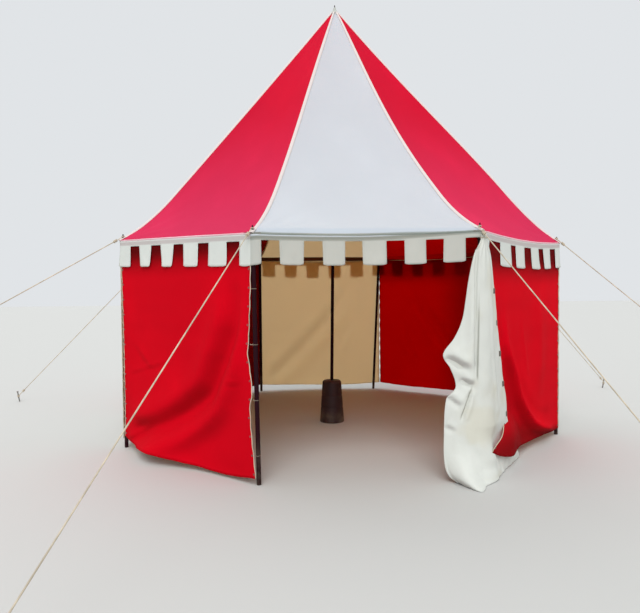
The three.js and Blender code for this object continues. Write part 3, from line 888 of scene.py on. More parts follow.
# Of each canvas: its colour, how dark its mottling gets and how deep it crumples, then what else it has.
CANVASES = {
    "red_roof_canvas": ("red_roof", 0.85, 0.0022, {"light": RED_LIGHT, "patch": painted_roof_sheen}),
    "white_roof_canvas": ("white_roof", 0.93, 0.0022, {"light": PALE_LIGHT, "patch": shaded_hem}),
    "red_wall_canvas": (
        "red_wall", 0.85, 0.0040, {"light": RED_LIGHT, "cover": shaded_wall, "depth": 1.0, "dimmed": 0.4}),
    "white_wall_canvas": (
        "white_wall", 0.90, 0.0045,
        {"light": PALE_LIGHT, "glow": OUTER_GLOW * 1.25, "patch": cream_stains, "depth": 0.3}),
    "curtain_canvas": (
        "curtain_white", 0.92, 0.0045,
        {"light": PALE_LIGHT, "glow": OUTER_GLOW / 3, "patch": curtain_stains_and_shade, "depth": 0.45}),
    "valance_canvas": (
        "valance_white", 0.90, 0.0035, {"light": PALE_LIGHT, "glow": OUTER_GLOW / 2, "patch": rolled_hem}),
    "side_valance_canvas": (
        "side_valance", 0.93, 0.0035, {"light": PALE_LIGHT, "glow": OUTER_GLOW / 3, "patch": side_band}),
    "hem_tape": ("hem_tape", 0.90, 0.0010, {"light": PALE_LIGHT, "glow": OUTER_GLOW / 3}),
    "white_roll": ("white_roll", 0.93, 0.0010, {"light": PALE_LIGHT, "glow": OUTER_GLOW / 3}),
    "hip_tape": ("hip_tape", 0.93, 0.0010, {"light": PALE_LIGHT, "glow": OUTER_GLOW / 3}),
    "inner_red_canvas": ("inside_red", 0.80, 0.0035, {"glow": INNER_GLOW, "cover": dark_inside}),
    "inner_white_canvas": ("inside_white", 0.90, 0.0040, {"glow": INNER_GLOW, "cover": shaded_doubled_hem}),
}


def laid_rope(finish):
    """Laid rope: fine yarns along the strands, with painted shade in the grooves between them, greyer where
    it was handled.
    """
    spot = finish.cloth_spot()
    around, along, _ = finish.parts(spot)
    yarns = ((around * 900 + along * 420) % 1.0 - 0.5)
    grime = finish.noise(spot, (20, 9, 1), 3)
    # Darker where it was handled, and painted shade in the grooves between the yarns.
    shade = (grime - 0.3).step(0.0, 0.45) * 0.8 + abs(yarns) * 0.3
    cream = finish.colours.rope_cream
    painted = finish.mixed(shade.step(0.0, 1.0), tuple(part * 0.62 for part in cream), cream)
    height = abs(yarns) * 0.0006 + grime * 0.0004
    return finish.done(finish.surface({
        "Base Color": painted, "Roughness": 0.85, "Normal": finish.bumped(height),
        "Specular IOR Level": 0.3}))


def black_paint(finish):
    """Near-black paint on steel tube, scuffed so that a browner coat shows."""
    spot = finish.object_spot()
    scuffs = finish.noise(spot, (40, 40, 5), 4).step(0.56, 0.68)
    dust = finish.parts(spot)[2].step(0.45, 0.0) * finish.noise(spot, (9, 9, 9), 3).step(0.35, 0.7)
    painted = finish.mixed(scuffs * 0.7, finish.colours.pole_black, paint(34, 16, 16))
    painted = finish.mixed(dust * 0.5, painted, paint(120, 108, 92))
    height = finish.noise(spot, (120, 120, 60), 2) * 0.0003 - scuffs * 0.0002
    return finish.done(finish.surface({
        "Base Color": painted, "Roughness": 0.5 + scuffs * 0.2 + dust * 0.3, "Normal": finish.bumped(height),
        "Specular IOR Level": 0.1}))


def bare_steel(finish):
    """Dull galvanised steel with small rust spots."""
    spot = finish.object_spot()
    rust = finish.noise(spot, (60, 60, 60), 4).step(0.58, 0.70)
    grain = finish.noise(spot, (300, 300, 40), 2)
    painted = finish.mixed(rust, finish.colours.bare_steel, paint(112, 66, 42))
    return finish.done(finish.surface({
        "Base Color": painted, "Metallic": 0.9 - rust * 0.8, "Roughness": 0.38 + rust * 0.4 + grain * 0.1,
        "Normal": finish.bumped(grain * 0.0002 + rust * 0.0004)}))


def drum_plastic(finish):
    """Matt dark maroon plastic, dusty at the foot and rubbed along the rim."""
    spot = finish.object_spot()
    height = finish.parts(spot)[2]
    rubbed = height.step(0.46, 0.50) * finish.noise(spot, (25, 25, 25), 3).step(0.4, 0.65)
    dust = height.step(0.22, 0.0) * finish.noise(spot, (8, 8, 8), 3).step(0.3, 0.7)
    painted = finish.mixed(rubbed * 0.6, finish.colours.drum_maroon, paint(96, 62, 60))
    painted = finish.mixed(dust * 0.6, painted, paint(124, 110, 92))
    pebble = finish.noise(spot, (260, 260, 260), 1)
    return finish.done(finish.surface({
        "Base Color": painted, "Roughness": 0.6 + dust * 0.25, "Normal": finish.bumped(pebble * 0.0003)}))


def leather(finish):
    """Dark tab leather with a worn grain."""
    spot = finish.object_spot()
    grain = finish.noise(spot, (220, 220, 220), 2)
    worn = finish.noise(spot, (35, 35, 35), 3).step(0.45, 0.7)
    painted = finish.mixed(worn * 0.5, finish.colours.dark_leather, paint(140, 118, 104))
    return finish.done(finish.surface({
        "Base Color": painted, "Roughness": 0.6 + worn * 0.2, "Normal": finish.bumped(grain * 0.0004)}))


OTHER_FINISHES = {
    "laid_rope": laid_rope, "black_pole_paint": black_paint, "bare_steel": bare_steel,
    "drum_plastic": drum_plastic, "tab_leather": leather,
}
made_finishes = {}


def finishes_of(names):
    """The materials of those names, each made once."""
    for name in names:
        if name not in made_finishes:
            finish = Finish(name, bpy.context.scene.tent_colours)
            if name in CANVASES:
                *settings, extras = CANVASES[name]
                made_finishes[name] = canvas(finish, *settings, **extras)
            else:
                made_finishes[name] = OTHER_FINISHES[name](finish)
    return [made_finishes[name] for name in names]


def is_red(index):
    return index % 2 == 1


def cloth_finishes(index, kind):
    """The names of the outer and the inner finish of a face's roof cloth or wall."""
    shade = "red" if is_red(index) else "white"
    return f"{shade}_{kind}_canvas", f"inner_{shade}_canvas"


# Finished pieces

def finished_piece(name, mesh, finishes, stands_for=(), crease=None):
    """Makes the bmesh an object that rides with the tent and stands for CAD nodes."""
    data = bpy.data.meshes.new(name)
    mesh.to_mesh(data)
    mesh.free()
    if crease:
        data.set_sharp_from_angle(angle=math.radians(crease))
    for material in finishes_of(finishes):
        data.materials.append(material)
    piece = bpy.data.objects.new(name, data)
    bpy.context.scene.collection.objects.link(piece)
    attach(piece, "root")
    if stands_for:
        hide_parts(*stands_for)
    return piece


def thicken(piece, thickness):
    """Gives a cloth its thickness on the inner side, in its second material."""
    layer = piece.modifiers.new("Thickness", "SOLIDIFY")
    layer.thickness = thickness
    layer.offset = -1
    layer.use_quality_normals = True
    layer.material_offset = 1


# The roof

ROOF_COLUMNS = 44
ROOF_ROWS = 96
ROOF_TOP = 0.014
TAPE_COLUMNS = 8
TAPE_ROWS = 110
TAPE_OVERHANG = 0.004
TAPE_END = CAP_REACH * 0.8
TAPE_RISE = 0.012
TAPE_ROUNDING = 0.85
TAPE_THICKNESS = 0.003
TAPE_NARROWING = 0.6


class TENT_OT_roof(Operator):
    """Makes the eight roof cloths, stretched from the hem to the apex"""

    bl_idname = "tent.roof"
    bl_label = "Roof Cloths"

    def execute(self, context):
        sizes = context.scene.tent_sizes
        for index, face in enumerate(FACES):
            def place(across, up, index=index):
                share = 2 * across - 1
                reach = lerp(EAVE_REACH, ROOF_TOP, up)
                half = reach * math.sin(HALF_ANGLE)
                length = up_the_roof(reach)
                edge = min((1 - abs(share)) * half, length)
                return roof_place(index, share, reach), (share * half, length), edge

            mesh = cloth_mesh(ROOF_COLUMNS, ROOF_ROWS, place)
            cloth = finished_piece(
                f"roof_cloth_{face}", mesh, cloth_finishes(index, "roof"),
                [f"roof_panel_{face}"])
            thicken(cloth, sizes.cloth_thickness)
        return {"FINISHED"}


class TENT_OT_hip_tapes(Operator):
    """Sews a pale tape over each seam of the roof, from the apex to the corner"""

    bl_idname = "tent.hip_tapes"
    bl_label = "Hip Tapes"

    def execute(self, context):
        tape_width = context.scene.tent_sizes.tape_width
        for index, corner in enumerate(CORNERS):
            def place(across, up, index=index):
                reach = lerp(EAVE_REACH + TAPE_OVERHANG, TAPE_END, up)
                width = tape_width * lerp(TAPE_NARROWING, 1.0, smooth_share(reach, 0.05, 0.5))
                aside = (across - 0.5) * width
                half = max(reach * math.sin(HALF_ANGLE), width / 2)
                rise = TAPE_RISE * (1 - TAPE_ROUNDING * (2 * aside / width) ** 2)
                share = 1 - abs(aside) / half
                left = roof_place((index - 1) % SIDES, share, reach, rise)
                right = roof_place(index, -share, reach, rise)
                spot = (left + right) / 2 if share > 1 - SAME_PLACE else right if aside > 0 else left
                return spot, (aside, up_the_roof(reach)), width / 2 - abs(aside)

            mesh = cloth_mesh(TAPE_COLUMNS, TAPE_ROWS, place)
            tape = finished_piece(f"hip_tape_{corner}", mesh, ["hip_tape", "hip_tape"])
            thicken(tape, TAPE_THICKNESS)
        return {"FINISHED"}


# The valance

GAP_COLUMNS = 4
FLAP_COLUMNS = 12
PITCH_COLUMNS = 2 * GAP_COLUMNS + FLAP_COLUMNS
FLAP_ROWS = 12
BAND_ROWS = 5
SEAM_GAP = 1e-5
BAND_TUCK = 0.010
VALANCE_CLEARANCE = 0.0025
CURTAIN_CLEARANCE = 0.25
ROLL_STEPS = 24
ROLL_SIDES = 12


class FlapShape(NamedTuple):
    """How a flap hangs, and how much wider than an even one it is cut on its left and right."""

    taper: float
    lean: float
    curl: float
    twist: float
    ripple: float
    left: float = 0.0
    right: float = 0.0


# The flaps that show best, each as it was cut and hangs. Flap 6 is tucked behind the curtain.
KNOWN_FLAPS = {
    0: FlapShape(0.0, 0.0, 0.004, 0.004, 0.002, 0.015, 0.0),
    1: FlapShape(-0.006, 0.0, 0.006, -0.004, 0.003, -0.005, 0.006),
    2: FlapShape(-0.004, 0.002, 0.002, 0.003, 0.002, -0.014, 0.0),
    4: FlapShape(0.0, 0.002, 0.004, 0.005, 0.003, -0.010, -0.010),
    5: FlapShape(0.004, -0.002, 0.003, -0.004, 0.002, 0.0, -0.016),
    6: FlapShape(-0.010, -0.045, 0.0, 0.0, 0.0, 0.0, -0.080),
    7: FlapShape(0.011, 0.011, 0.002, 0.0, 0.0, 0.0, 0.030),
    8: FlapShape(-0.006, 0.012, 0.006, 0.004, 0.003, 0.0, 0.010),
    9: FlapShape(0.0, 0.030, 0.008, 0.006, 0.003, -0.038, 0.040),
    10: FlapShape(-0.022, 0.022, 0.010, 0.004, 0.002, -0.026, 0.026),
    11: FlapShape(-0.010, 0.006, 0.010, 0.004, 0.002, -0.040, 0.0),
    40: FlapShape(-0.020, 0.0, 0.012, 0.004, 0.003),
    41: FlapShape(-0.028, 0.0, 0.012, -0.004, 0.003),
    42: FlapShape(-0.004, 0.0, 0.008, 0.004, 0.003, 0.008, 0.0),
    43: FlapShape(0.006, -0.002, 0.006, 0.004, 0.003, 0.005, 0.025),
}


def flap_middle(index):
    """The middle of a flap, walked round the hem from the middle of the front face."""
    laps, index = divmod(index, FLAP_COUNT)
    on_front = min(index, FRONT_FLAPS - 1)
    shift = BACK_SHIFT * math.sin(math.pi * min(1.0, (index - on_front) / BACK_FLAPS)) ** 2
    walked = FIRST_FLAP + on_front * FRONT_PITCH + (index - on_front) * SIDE_PITCH + shift
    return walked + laps * SIDES * SIDE_LENGTH


def flap_shapes(scatter):
    """How each flap of the valance was cut and hangs, the same each time."""
    chance = random.Random(7)
    shapes = []
    for index in range(FLAP_COUNT):
        shape = FlapShape(
            chance.uniform(-0.012, 0.006), chance.gauss(0, 0.005), chance.uniform(-0.001, 0.018),
            chance.gauss(0, 0.006), chance.gauss(0, 0.003))
        shapes.append(KNOWN_FLAPS.get(index, FlapShape(*(value * scatter for value in shape))))
    return shapes


def valance_place(shapes, across, up):
    """A place on the valance; across runs round the tent and up from the flaps' ends to the roof's hem."""
    index, step = divmod(round(across * FLAP_COUNT * PITCH_COLUMNS), PITCH_COLUMNS)
    shape, before, after = (shapes[(index + shift) % FLAP_COUNT] for shift in (0, -1, 1))
    middle = flap_middle(index)
    half = FLAP_WIDTH / 2
    low, high = -half - shape.left, half + shape.right
    if step <= GAP_COLUMNS:
        gap_middle = (flap_middle(index - 1) - middle + before.right - shape.left) / 2
        local = lerp(gap_middle, low, step / GAP_COLUMNS)
    elif step <= GAP_COLUMNS + FLAP_COLUMNS:
        local = lerp(low, high, (step - GAP_COLUMNS) / FLAP_COLUMNS)
    else:
        gap_middle = (flap_middle(index + 1) - middle + shape.right - after.left) / 2
        local = lerp(high, gap_middle, (step - GAP_COLUMNS - FLAP_COLUMNS) / GAP_COLUMNS)
    row = round(up * (FLAP_ROWS + BAND_ROWS))
    drop, band = of_face(FLAP_DROPS, middle + local), of_face(BAND_DEPTHS, middle + local)
    inside = min(local - low, high - local)
    if row <= FLAP_ROWS:
        rise, depth = drop * row / FLAP_ROWS, 1 - row / FLAP_ROWS
        edge = min(inside, rise)
    else:
        rise, depth = drop + band * (row - FLAP_ROWS) / BAND_ROWS, 0.0
        edge = math.hypot(max(0.0, inside), rise - drop)
    across_flap = min(1.0, max(-1.0, 2 * (local - low) / (high - low) - 1))
    flat = middle + local
    sideways = depth * (shape.lean + shape.taper * across_flap)
    curl = shape.curl + shape.twist * across_flap - 0.3 * shape.curl * across_flap ** 2
    out = 0.003 + depth ** 1.5 * curl
    out += shape.ripple * depth * math.sin(4 * across_flap + 3 * depth)
    near_curtain = smooth_share(abs(flat - FRONT_RIGHT), 0.1, CURTAIN_CLEARANCE)
    angle = 2 * math.pi * flat / (SIDES * SIDE_LENGTH)
    ring = (math.cos(angle) * 30, math.sin(angle) * 30)
    out += near_curtain * 0.0035 * (0.4 + depth) * wander(*ring, rise * 9)
    out = max(out, VALANCE_CLEARANCE + 0.004 * depth)
    lifted = 0.008 * smooth_share(abs(across_flap), 0.72, 1.0) * smooth_share(depth, 0.75, 1.0)
    lifted += 0.004 * depth * wander(ring[0] * 0.3, ring[1] * 0.3, 4.0)
    tuck = BAND_TUCK * smooth_share(rise - drop, 0.0, band)
    height = hem_height(flat) - band - drop + rise - tuck + lifted
    return on_outline(flat + sideways, out, height), (flat - FIRST_FLAP, rise), edge


def is_valance_cloth(across, up):
    step = math.floor(across * FLAP_COUNT * PITCH_COLUMNS) % PITCH_COLUMNS
    in_flap = GAP_COLUMNS <= step < GAP_COLUMNS + FLAP_COLUMNS
    return in_flap or up * (FLAP_ROWS + BAND_ROWS) > FLAP_ROWS


class TENT_OT_valance(Operator):
    """Hangs the castellated valance under the hem, with the roll that hides its seam"""

    bl_idname = "tent.valance"
    bl_label = "Valance and Hem Roll"

    def execute(self, context):
        sizes = context.scene.tent_sizes
        shapes = flap_shapes(sizes.flap_scatter)
        mesh = cloth_mesh(
            FLAP_COUNT * PITCH_COLUMNS, FLAP_ROWS + BAND_ROWS,
            lambda across, up: valance_place(shapes, across, up), is_valance_cloth)
        bmesh.ops.remove_doubles(mesh, verts=mesh.verts[:], dist=SEAM_GAP)
        for face in mesh.faces:
            face.material_index = 2 * is_red(facing(face.calc_center_median()))
        valance = finished_piece(
            "valance", mesh,
            ["valance_canvas", "inner_white_canvas", "side_valance_canvas", "inner_white_canvas"],
            [f"valance_{face}" for face in FACES])
        thicken(valance, sizes.cloth_thickness)

        radius = sizes.roll_diameter / 2
        path = []
        for step in range(SIDES * ROLL_STEPS):
            distance = (step / ROLL_STEPS - 0.5) * SIDE_LENGTH
            height = hem_height(distance) - 0.45 * radius + 0.0012 * wander(distance * 6, 0, 0)
            path.append(on_outline(distance, -0.001, height))
        mesh = bmesh.new()
        add_cord(mesh, [*path, path[0]], radius, ROLL_SIDES, level=True)
        for face in mesh.faces:
            place = face.calc_center_median()
            index = facing(place)
            inner = place.dot(on_face(index, 0, 1, 0)) < HEM_APOTHEM + 0.001
            face.material_index = is_red(index) + 2 * inner
        roll = finished_piece(
            "hem_roll", mesh, ["white_roll", "hem_tape", "inner_white_canvas", "inner_red_canvas"])
        return {"FINISHED"}


# The walls

WALL_COLUMNS = 76
WALL_ROWS = 84
WALL_HEIGHT = WALL_TOP - WALL_BOTTOM
WALL_BELOW_HEM = 0.018
# Further from its middle than this, a wall lies at its poles and bends outwards only.
WALL_FREE = 0.86
EDGE_SCALLOP = 0.006
EDGE_ROPE_RADIUS = 0.004
EDGE_ROPE_STEPS = 90
EDGE_ROPE_END = 0.93
# The lowest eyelet above the hem, and the highest one below the wall's top.
LOW_EYELET = 0.035
HIGH_EYELET = 0.27
EYELET_RADIUS = 0.007
EYELET_WIRE = 0.0022
VALANCE_FOOT = 1.790


class WallLook(NamedTuple):
    """How a wall hangs: its folds, hem line, side edges, and the place, width and push of its flared hem."""

    folds: tuple
    hem: tuple
    edges: tuple
    flare: tuple


def plain_wall_look(index):
    """A wall of the unseen sides: pulled to one lower corner, like the walls beside the door."""
    chance = random.Random(40 + index)
    side = chance.choice((-1, 1))
    top = -side * chance.uniform(0.25, 0.8)
    line = tuple(
        (lerp(top, side * 0.82, share ** 1.3), lerp(1.75, 0.13, share)) for share in (0, 0.3, 0.6, 0.85, 1))
    size = chance.uniform(0.55, 0.95)
    lobes = (
        (side * 0.19, 0.030 * size, 0.10), (side * 0.03, -0.045 * size, 0.07),
        (-side * 0.13, 0.050 * size, 0.12))
    second = tuple((lerp(-side * 0.6, -side * 0.2, share), lerp(1.1, 0.35, share)) for share in (0, 0.5, 1))
    folds = (Fold(line, lobes, 0.4, 0.12), Fold(second, ((0.0, 0.018 * size, 0.05),), 0.4, 0.4))
    hem = ((0.0, 0.095), (0.3, 0.075 + chance.uniform(-0.01, 0.01)), (0.7, 0.078), (1.0, 0.095))
    edges = ((0.09, -0.944, 0.944), (1.0, -0.949, 0.949), (2.03, -0.951, 0.951))
    return WallLook(folds, hem, edges, (side * chance.uniform(0.0, 0.35), 0.55, chance.uniform(0.04, 0.09)))


def wall_look(index):
    """The look of a face's wall, by the photo where it shows."""
    if FACES[index] == "front_left":
        return WallLook(eased(FRONT_LEFT_FOLDS), FRONT_LEFT_HEM, FRONT_LEFT_EDGES, (-0.22, 0.42, 0.155))
    if FACES[index] == "front_right":
        return WallLook(eased(FRONT_RIGHT_FOLDS), FRONT_RIGHT_HEM, FRONT_RIGHT_EDGES, (0.30, 0.40, 0.03))
    look = plain_wall_look(index)
    return look._replace(folds=eased(look.folds))


def eyelet_height(number, low):
    """Height of an eyelet on a wall's side edge, counted from the hem."""
    return lerp(low + LOW_EYELET, WALL_TOP - HIGH_EYELET, number / (EYELET_COUNT - 1))


def wall_place(index, look, across, up):
    """A place on the outside of a wall cloth."""
    low = table_row(look.hem, across)[0]
    top = hem_height((index - 0.5 + across) * SIDE_LENGTH) - WALL_BELOW_HEM
    height = lerp(low, top, up)
    left, right = table_row(look.edges, height)
    along = lerp(left, right, across)
    inside = min(across, 1 - across) * WALL_WIDTH
    side = math.copysign(1, 0.5 - across)
    spacing = eyelet_height(1, low) - eyelet_height(0, low)
    between = (height - eyelet_height(0, low)) / spacing
    scallop = 1 - abs(math.cos(math.pi * between))
    laced = smooth_share(WALL_TOP - height, 0.15, 0.30)
    along += side * EDGE_SCALLOP * scallop * laced * bell(inside, 0.10)
    hold = smooth_share(inside, 0.0, 0.16) * smooth_share(WALL_TOP - height, 0.0, 0.30)
    middle, width, flare = look.flare
    push = fold_push(look.folds, along, height)
    push += flare * bell(along - middle, width) * math.exp(-(height - low) / 0.28)
    push += 0.010 * wander(along * 1.6, height * 0.8, index * 5.1)
    push += 0.004 * wander(along * 5.0, height * 2.2, index * 5.1 + 9)
    push -= EDGE_SCALLOP * scallop * laced * bell(inside, 0.07)
    push *= hold
    push = min(push, 0.004 + 0.30 * smooth_share(VALANCE_FOOT - height, 0.0, 0.16))
    push += 0.003 * wander(height * 7, index * 3.3, side)
    if abs(along) > WALL_FREE:
        push = max(push, 0.0)
    if FACES[index] == "front_right":
        (lift_along, lift_height), (reach_along, reach_height) = CORNER_LIFT_MIDDLE, CORNER_LIFT_REACH
        close = 1 - math.hypot((along - lift_along) / reach_along, (height - lift_height) / reach_height)
        push += CORNER_LIFT * smooth_share(close, 0.0, 0.75) * (1 - smooth_share(height, *CORNER_LIFT_END))
    rough = 0.004 * wander(along * 9, index * 2.7, 0.5) * math.exp(-(height - low) / 0.1)
    return on_face(index, along, HEM_APOTHEM + WALL_OUT + push, height + rough)


class TENT_OT_walls(Operator):
    """Hangs the seven walls, with a rope along each side edge and its eyelets"""

    bl_idname = "tent.walls"
    bl_label = "Walls"

    def execute(self, context):
        sizes = context.scene.tent_sizes
        for index, face in enumerate(FACES):
            if face == "front":
                continue
            look = wall_look(index)

            def place(across, up, index=index, look=look):
                edge = min(min(across, 1 - across) * WALL_WIDTH, min(up, 1 - up) * WALL_HEIGHT)
                return wall_place(index, look, across, up), (across * WALL_WIDTH, up * WALL_HEIGHT), edge

            mesh = cloth_mesh(WALL_COLUMNS, WALL_ROWS, place)
            wall = finished_piece(
                f"wall_cloth_{face}", mesh, cloth_finishes(index, "wall"),
                [f"wall_{face}"])
            thicken(wall, sizes.cloth_thickness)

            ropes, rings = bmesh.new(), bmesh.new()
            outward = on_face(index, 0, 1, 0)
            for across in (0.0, 1.0):
                edge = [
                    wall_place(index, look, across, EDGE_ROPE_END * step / EDGE_ROPE_STEPS)
                    for step in range(EDGE_ROPE_STEPS + 1)]
                add_cord(ropes, edge, EDGE_ROPE_RADIUS, 7, lay=sizes.rope_lay / 2)
                low = table_row(look.hem, across)[0]
                for number in range(EYELET_COUNT):
                    up = (eyelet_height(number, low) - low) / (WALL_TOP - low)
                    inset = EYELET_INSET / WALL_WIDTH
                    middle = wall_place(index, look, abs(across - inset), up) + outward * 0.001
                    ring = coil_path(middle, outward, UP, EYELET_RADIUS, 1, 0, 0, 10)
                    add_cord(rings, ring[:-1] + ring[:1], EYELET_WIRE, 5)
            edge_rope = finished_piece(f"edge_rope_{face}", ropes, ["laid_rope"])
            eyelets = finished_piece(f"eyelets_{face}", rings, ["bare_steel"])
        return {"FINISHED"}


# The door curtain

CURTAIN_ROWS = 112
# The runs in which the cloth lies folded: the columns and the share of the flat cloth that each takes.
CURTAIN_RUNS = (
    ("rear", 26, 0.36), ("right turn", 6, 0.02), ("middle", 46, 0.62), ("left turn", 10, 0.03),
    ("front", 104, 0.77))
CURTAIN_COLUMNS = sum(count for _, count, _ in CURTAIN_RUNS)
CURTAIN_TOP = CURTAIN_LEVELS[-1][0]
CURTAIN_FOOT = CURTAIN_LEVELS[0][0]
# The curtain's rows lie closer towards its foot.
CURTAIN_CROWDING = 1.25
CURTAIN_CLOTH = 0.008
# How far the layers behind the front one stand out, as shares of it.
MIDDLE_DEPTH = 0.62
REAR_DEPTH = 0.25
HEAD_PLEATS = 5.5
PLEAT_DEPTH = 0.0045
HIDDEN_END = 0.40
TIE_HEIGHT = 2.010
TIE_STEPS = 24
TAB_SIZE = (0.034, 0.006, 0.046)
TAB_INSET = 0.022
TAB_BEVEL = 0.0022


def curtain_run(column):
    """The run of the folded cloth that a column is in, its share of it, and its spot on the flat cloth."""
    whole = sum(length for _, _, length in CURTAIN_RUNS)
    walked = 0.0
    for name, count, length in CURTAIN_RUNS:
        if column <= count:
            return name, column / count, (walked + length * column / count) / whole * CURTAIN_SIZE[0]
        column -= count
        walked += length
    raise ValueError("the column is past the cloth's edge")


def curtain_place(folds, across, up):
    """A place on the door curtain, folded in three runs and drawn round the corner."""
    run, share, flat = curtain_run(round(across * CURTAIN_COLUMNS))
    height = lerp(CURTAIN_FOOT, CURTAIN_TOP, up ** CURTAIN_CROWDING)
    left, right, stand = table_row(CURTAIN_LEVELS, height)
    low = smooth_share(height, 0.45, 0.05)
    fullness = tuple(zip(CURTAIN_SPOTS, table_row(CURTAIN_FULLNESS, height)))
    gathered = smooth_share(height, 1.45, 1.95)

    def depth(spot, layer):
        part = min(1.0, max(0.0, (spot - left) / (right - left)))
        full = CURTAIN_CLOTH + stand * table_row(fullness, part)[0]
        if layer == "front":
            pleats = gathered * PLEAT_DEPTH * math.sin(part * 2 * math.pi * HEAD_PLEATS)
            soft = 0.007 * wander(spot * 7, height * 3.5, 2.0) + 0.004 * wander(spot * 17, height * 8, 6.0)
            return full + fold_push(folds, spot, height) + pleats + soft * (1 - gathered)
        waves = 0.10 * stand * math.sin(spot * 38 + (1.5 if layer == "middle" else 0.0) + 2 * height)
        return (MIDDLE_DEPTH if layer == "middle" else REAR_DEPTH) * full + waves * (1 - low)

    hidden = min(right - lerp(0.085, 0.012, gathered), HIDDEN_END)
    front_turn = (depth(left + 0.01, "front") - depth(left + 0.01, "middle")) / 2
    rear_turn = (depth(hidden, "middle") - depth(hidden, "rear")) / 2
    if run == "rear":
        spot = lerp(min(-0.012, hidden - 0.02), hidden - rear_turn, share)
        out = depth(spot, "rear")
    elif run == "right turn":
        spot = hidden - rear_turn + rear_turn * math.sin(math.pi * share)
        out = depth(hidden, "rear") + rear_turn * (1 - math.cos(math.pi * share))
    elif run == "middle":
        spot = lerp(hidden - rear_turn, left + front_turn, share)
        out = depth(spot, "middle")
    elif run == "left turn":
        spot = left + front_turn * (1 - math.sin(math.pi * share))
        out = depth(left + 0.01, "middle") + front_turn * (1 - math.cos(math.pi * share))
    else:
        spot = lerp(left + front_turn, right, share)
        out = depth(spot, "front")
    lifted = 0.006 * low * abs(wander(spot * 14, out * 14, 3.0))
    edge = min(flat, CURTAIN_SIZE[0] - flat, up * CURTAIN_SIZE[1], (1 - up) * CURTAIN_SIZE[1])
    return near_corner(CURTAIN_CORNER, spot, out, height + lifted), (flat, up * CURTAIN_SIZE[1]), edge


class TENT_OT_curtain(Operator):
    """Draws the white door cloth round the front right corner, tied at its top and spread at its foot"""

    bl_idname = "tent.curtain"
    bl_label = "Door Curtain"

    def execute(self, context):
        sizes = context.scene.tent_sizes
        folds = eased(CURTAIN_FOLDS)
        mesh = cloth_mesh(
            CURTAIN_COLUMNS, CURTAIN_ROWS, lambda across, up: curtain_place(folds, across, up))
        curtain = finished_piece(
            "curtain_cloth", mesh, ["curtain_canvas", "curtain_canvas"], ["door_curtain"])
        thicken(curtain, sizes.cloth_thickness)

        ties = bmesh.new()
        for lift in (0.0, 0.005):
            loop = []
            for step in range(TIE_STEPS):
                angle = 2 * math.pi * step / TIE_STEPS
                spot, out = 0.012 + 0.040 * math.cos(angle), 0.012 + 0.018 * math.sin(angle)
                height = TIE_HEIGHT + lift + 0.002 * math.sin(3 * angle)
                loop.append(near_corner(CURTAIN_CORNER, spot, out, height))
            add_cord(ties, [*loop, loop[0]], sizes.lacing_diameter / 2, 7, lay=sizes.rope_lay / 2, level=True)
        tie = finished_piece("curtain_tie", ties, ["laid_rope"])

        tabs = bmesh.new()
        outward, sideways = on_face(CURTAIN_CORNER, 0, 1, 0), on_face(CURTAIN_CORNER, 1, 0, 0)
        turn = Matrix((sideways, outward, UP)).transposed().to_4x4()
        for height in TOGGLE_HEIGHTS:
            up = ((height - CURTAIN_FOOT) / (CURTAIN_TOP - CURTAIN_FOOT)) ** (1 / CURTAIN_CROWDING)
            middle = curtain_place(folds, 1.0, up)[0] + outward * 0.004 - sideways * TAB_INSET
            place = Matrix.Translation(middle) @ turn @ Matrix.Diagonal((*TAB_SIZE, 1))
            made = bmesh.ops.create_cube(tabs, size=1.0, matrix=place)
            edges = list({edge for vert in made["verts"] for edge in vert.link_edges})
            bmesh.ops.bevel(
                tabs, geom=edges, offset=TAB_BEVEL, affect="EDGES", segments=2, profile=0.5, material=-1)
        toggles = finished_piece("curtain_toggles", tabs, ["tab_leather"], crease=40)
        return {"FINISHED"}


# Poles, ropes and pegs

COLLAR = 0.0015
COLLAR_HEIGHT = 0.060
SLEEVE = 0.003
SLEEVE_HALF = 0.090
# The short slope at the end of a collar or sleeve.
SHORT_STEP = 0.002
TURNED_EDGE = 0.003
DRUM_EDGE = 0.007
DRUM_GROOVE = 0.006
DRUM_RIM = 0.018
CAP_GAP = 0.002


def foot_shift(node, top):
    """How far to the right of its top the foot of a leaning pole stands."""
    return 2 * (box_middle(node) - top).x


def pole_shift(index):
    return foot_shift(f"corner_pole_{CORNERS[index]}", corner_direction(index) * POLE_REACH)


def lean_below(mesh, top, foot, shift):
    """Leans what lies below a height, so that its foot moves that far to the right."""
    for vert in mesh.verts:
        vert.co.x += shift * max(0.0, (top - vert.co.z) / (top - foot))


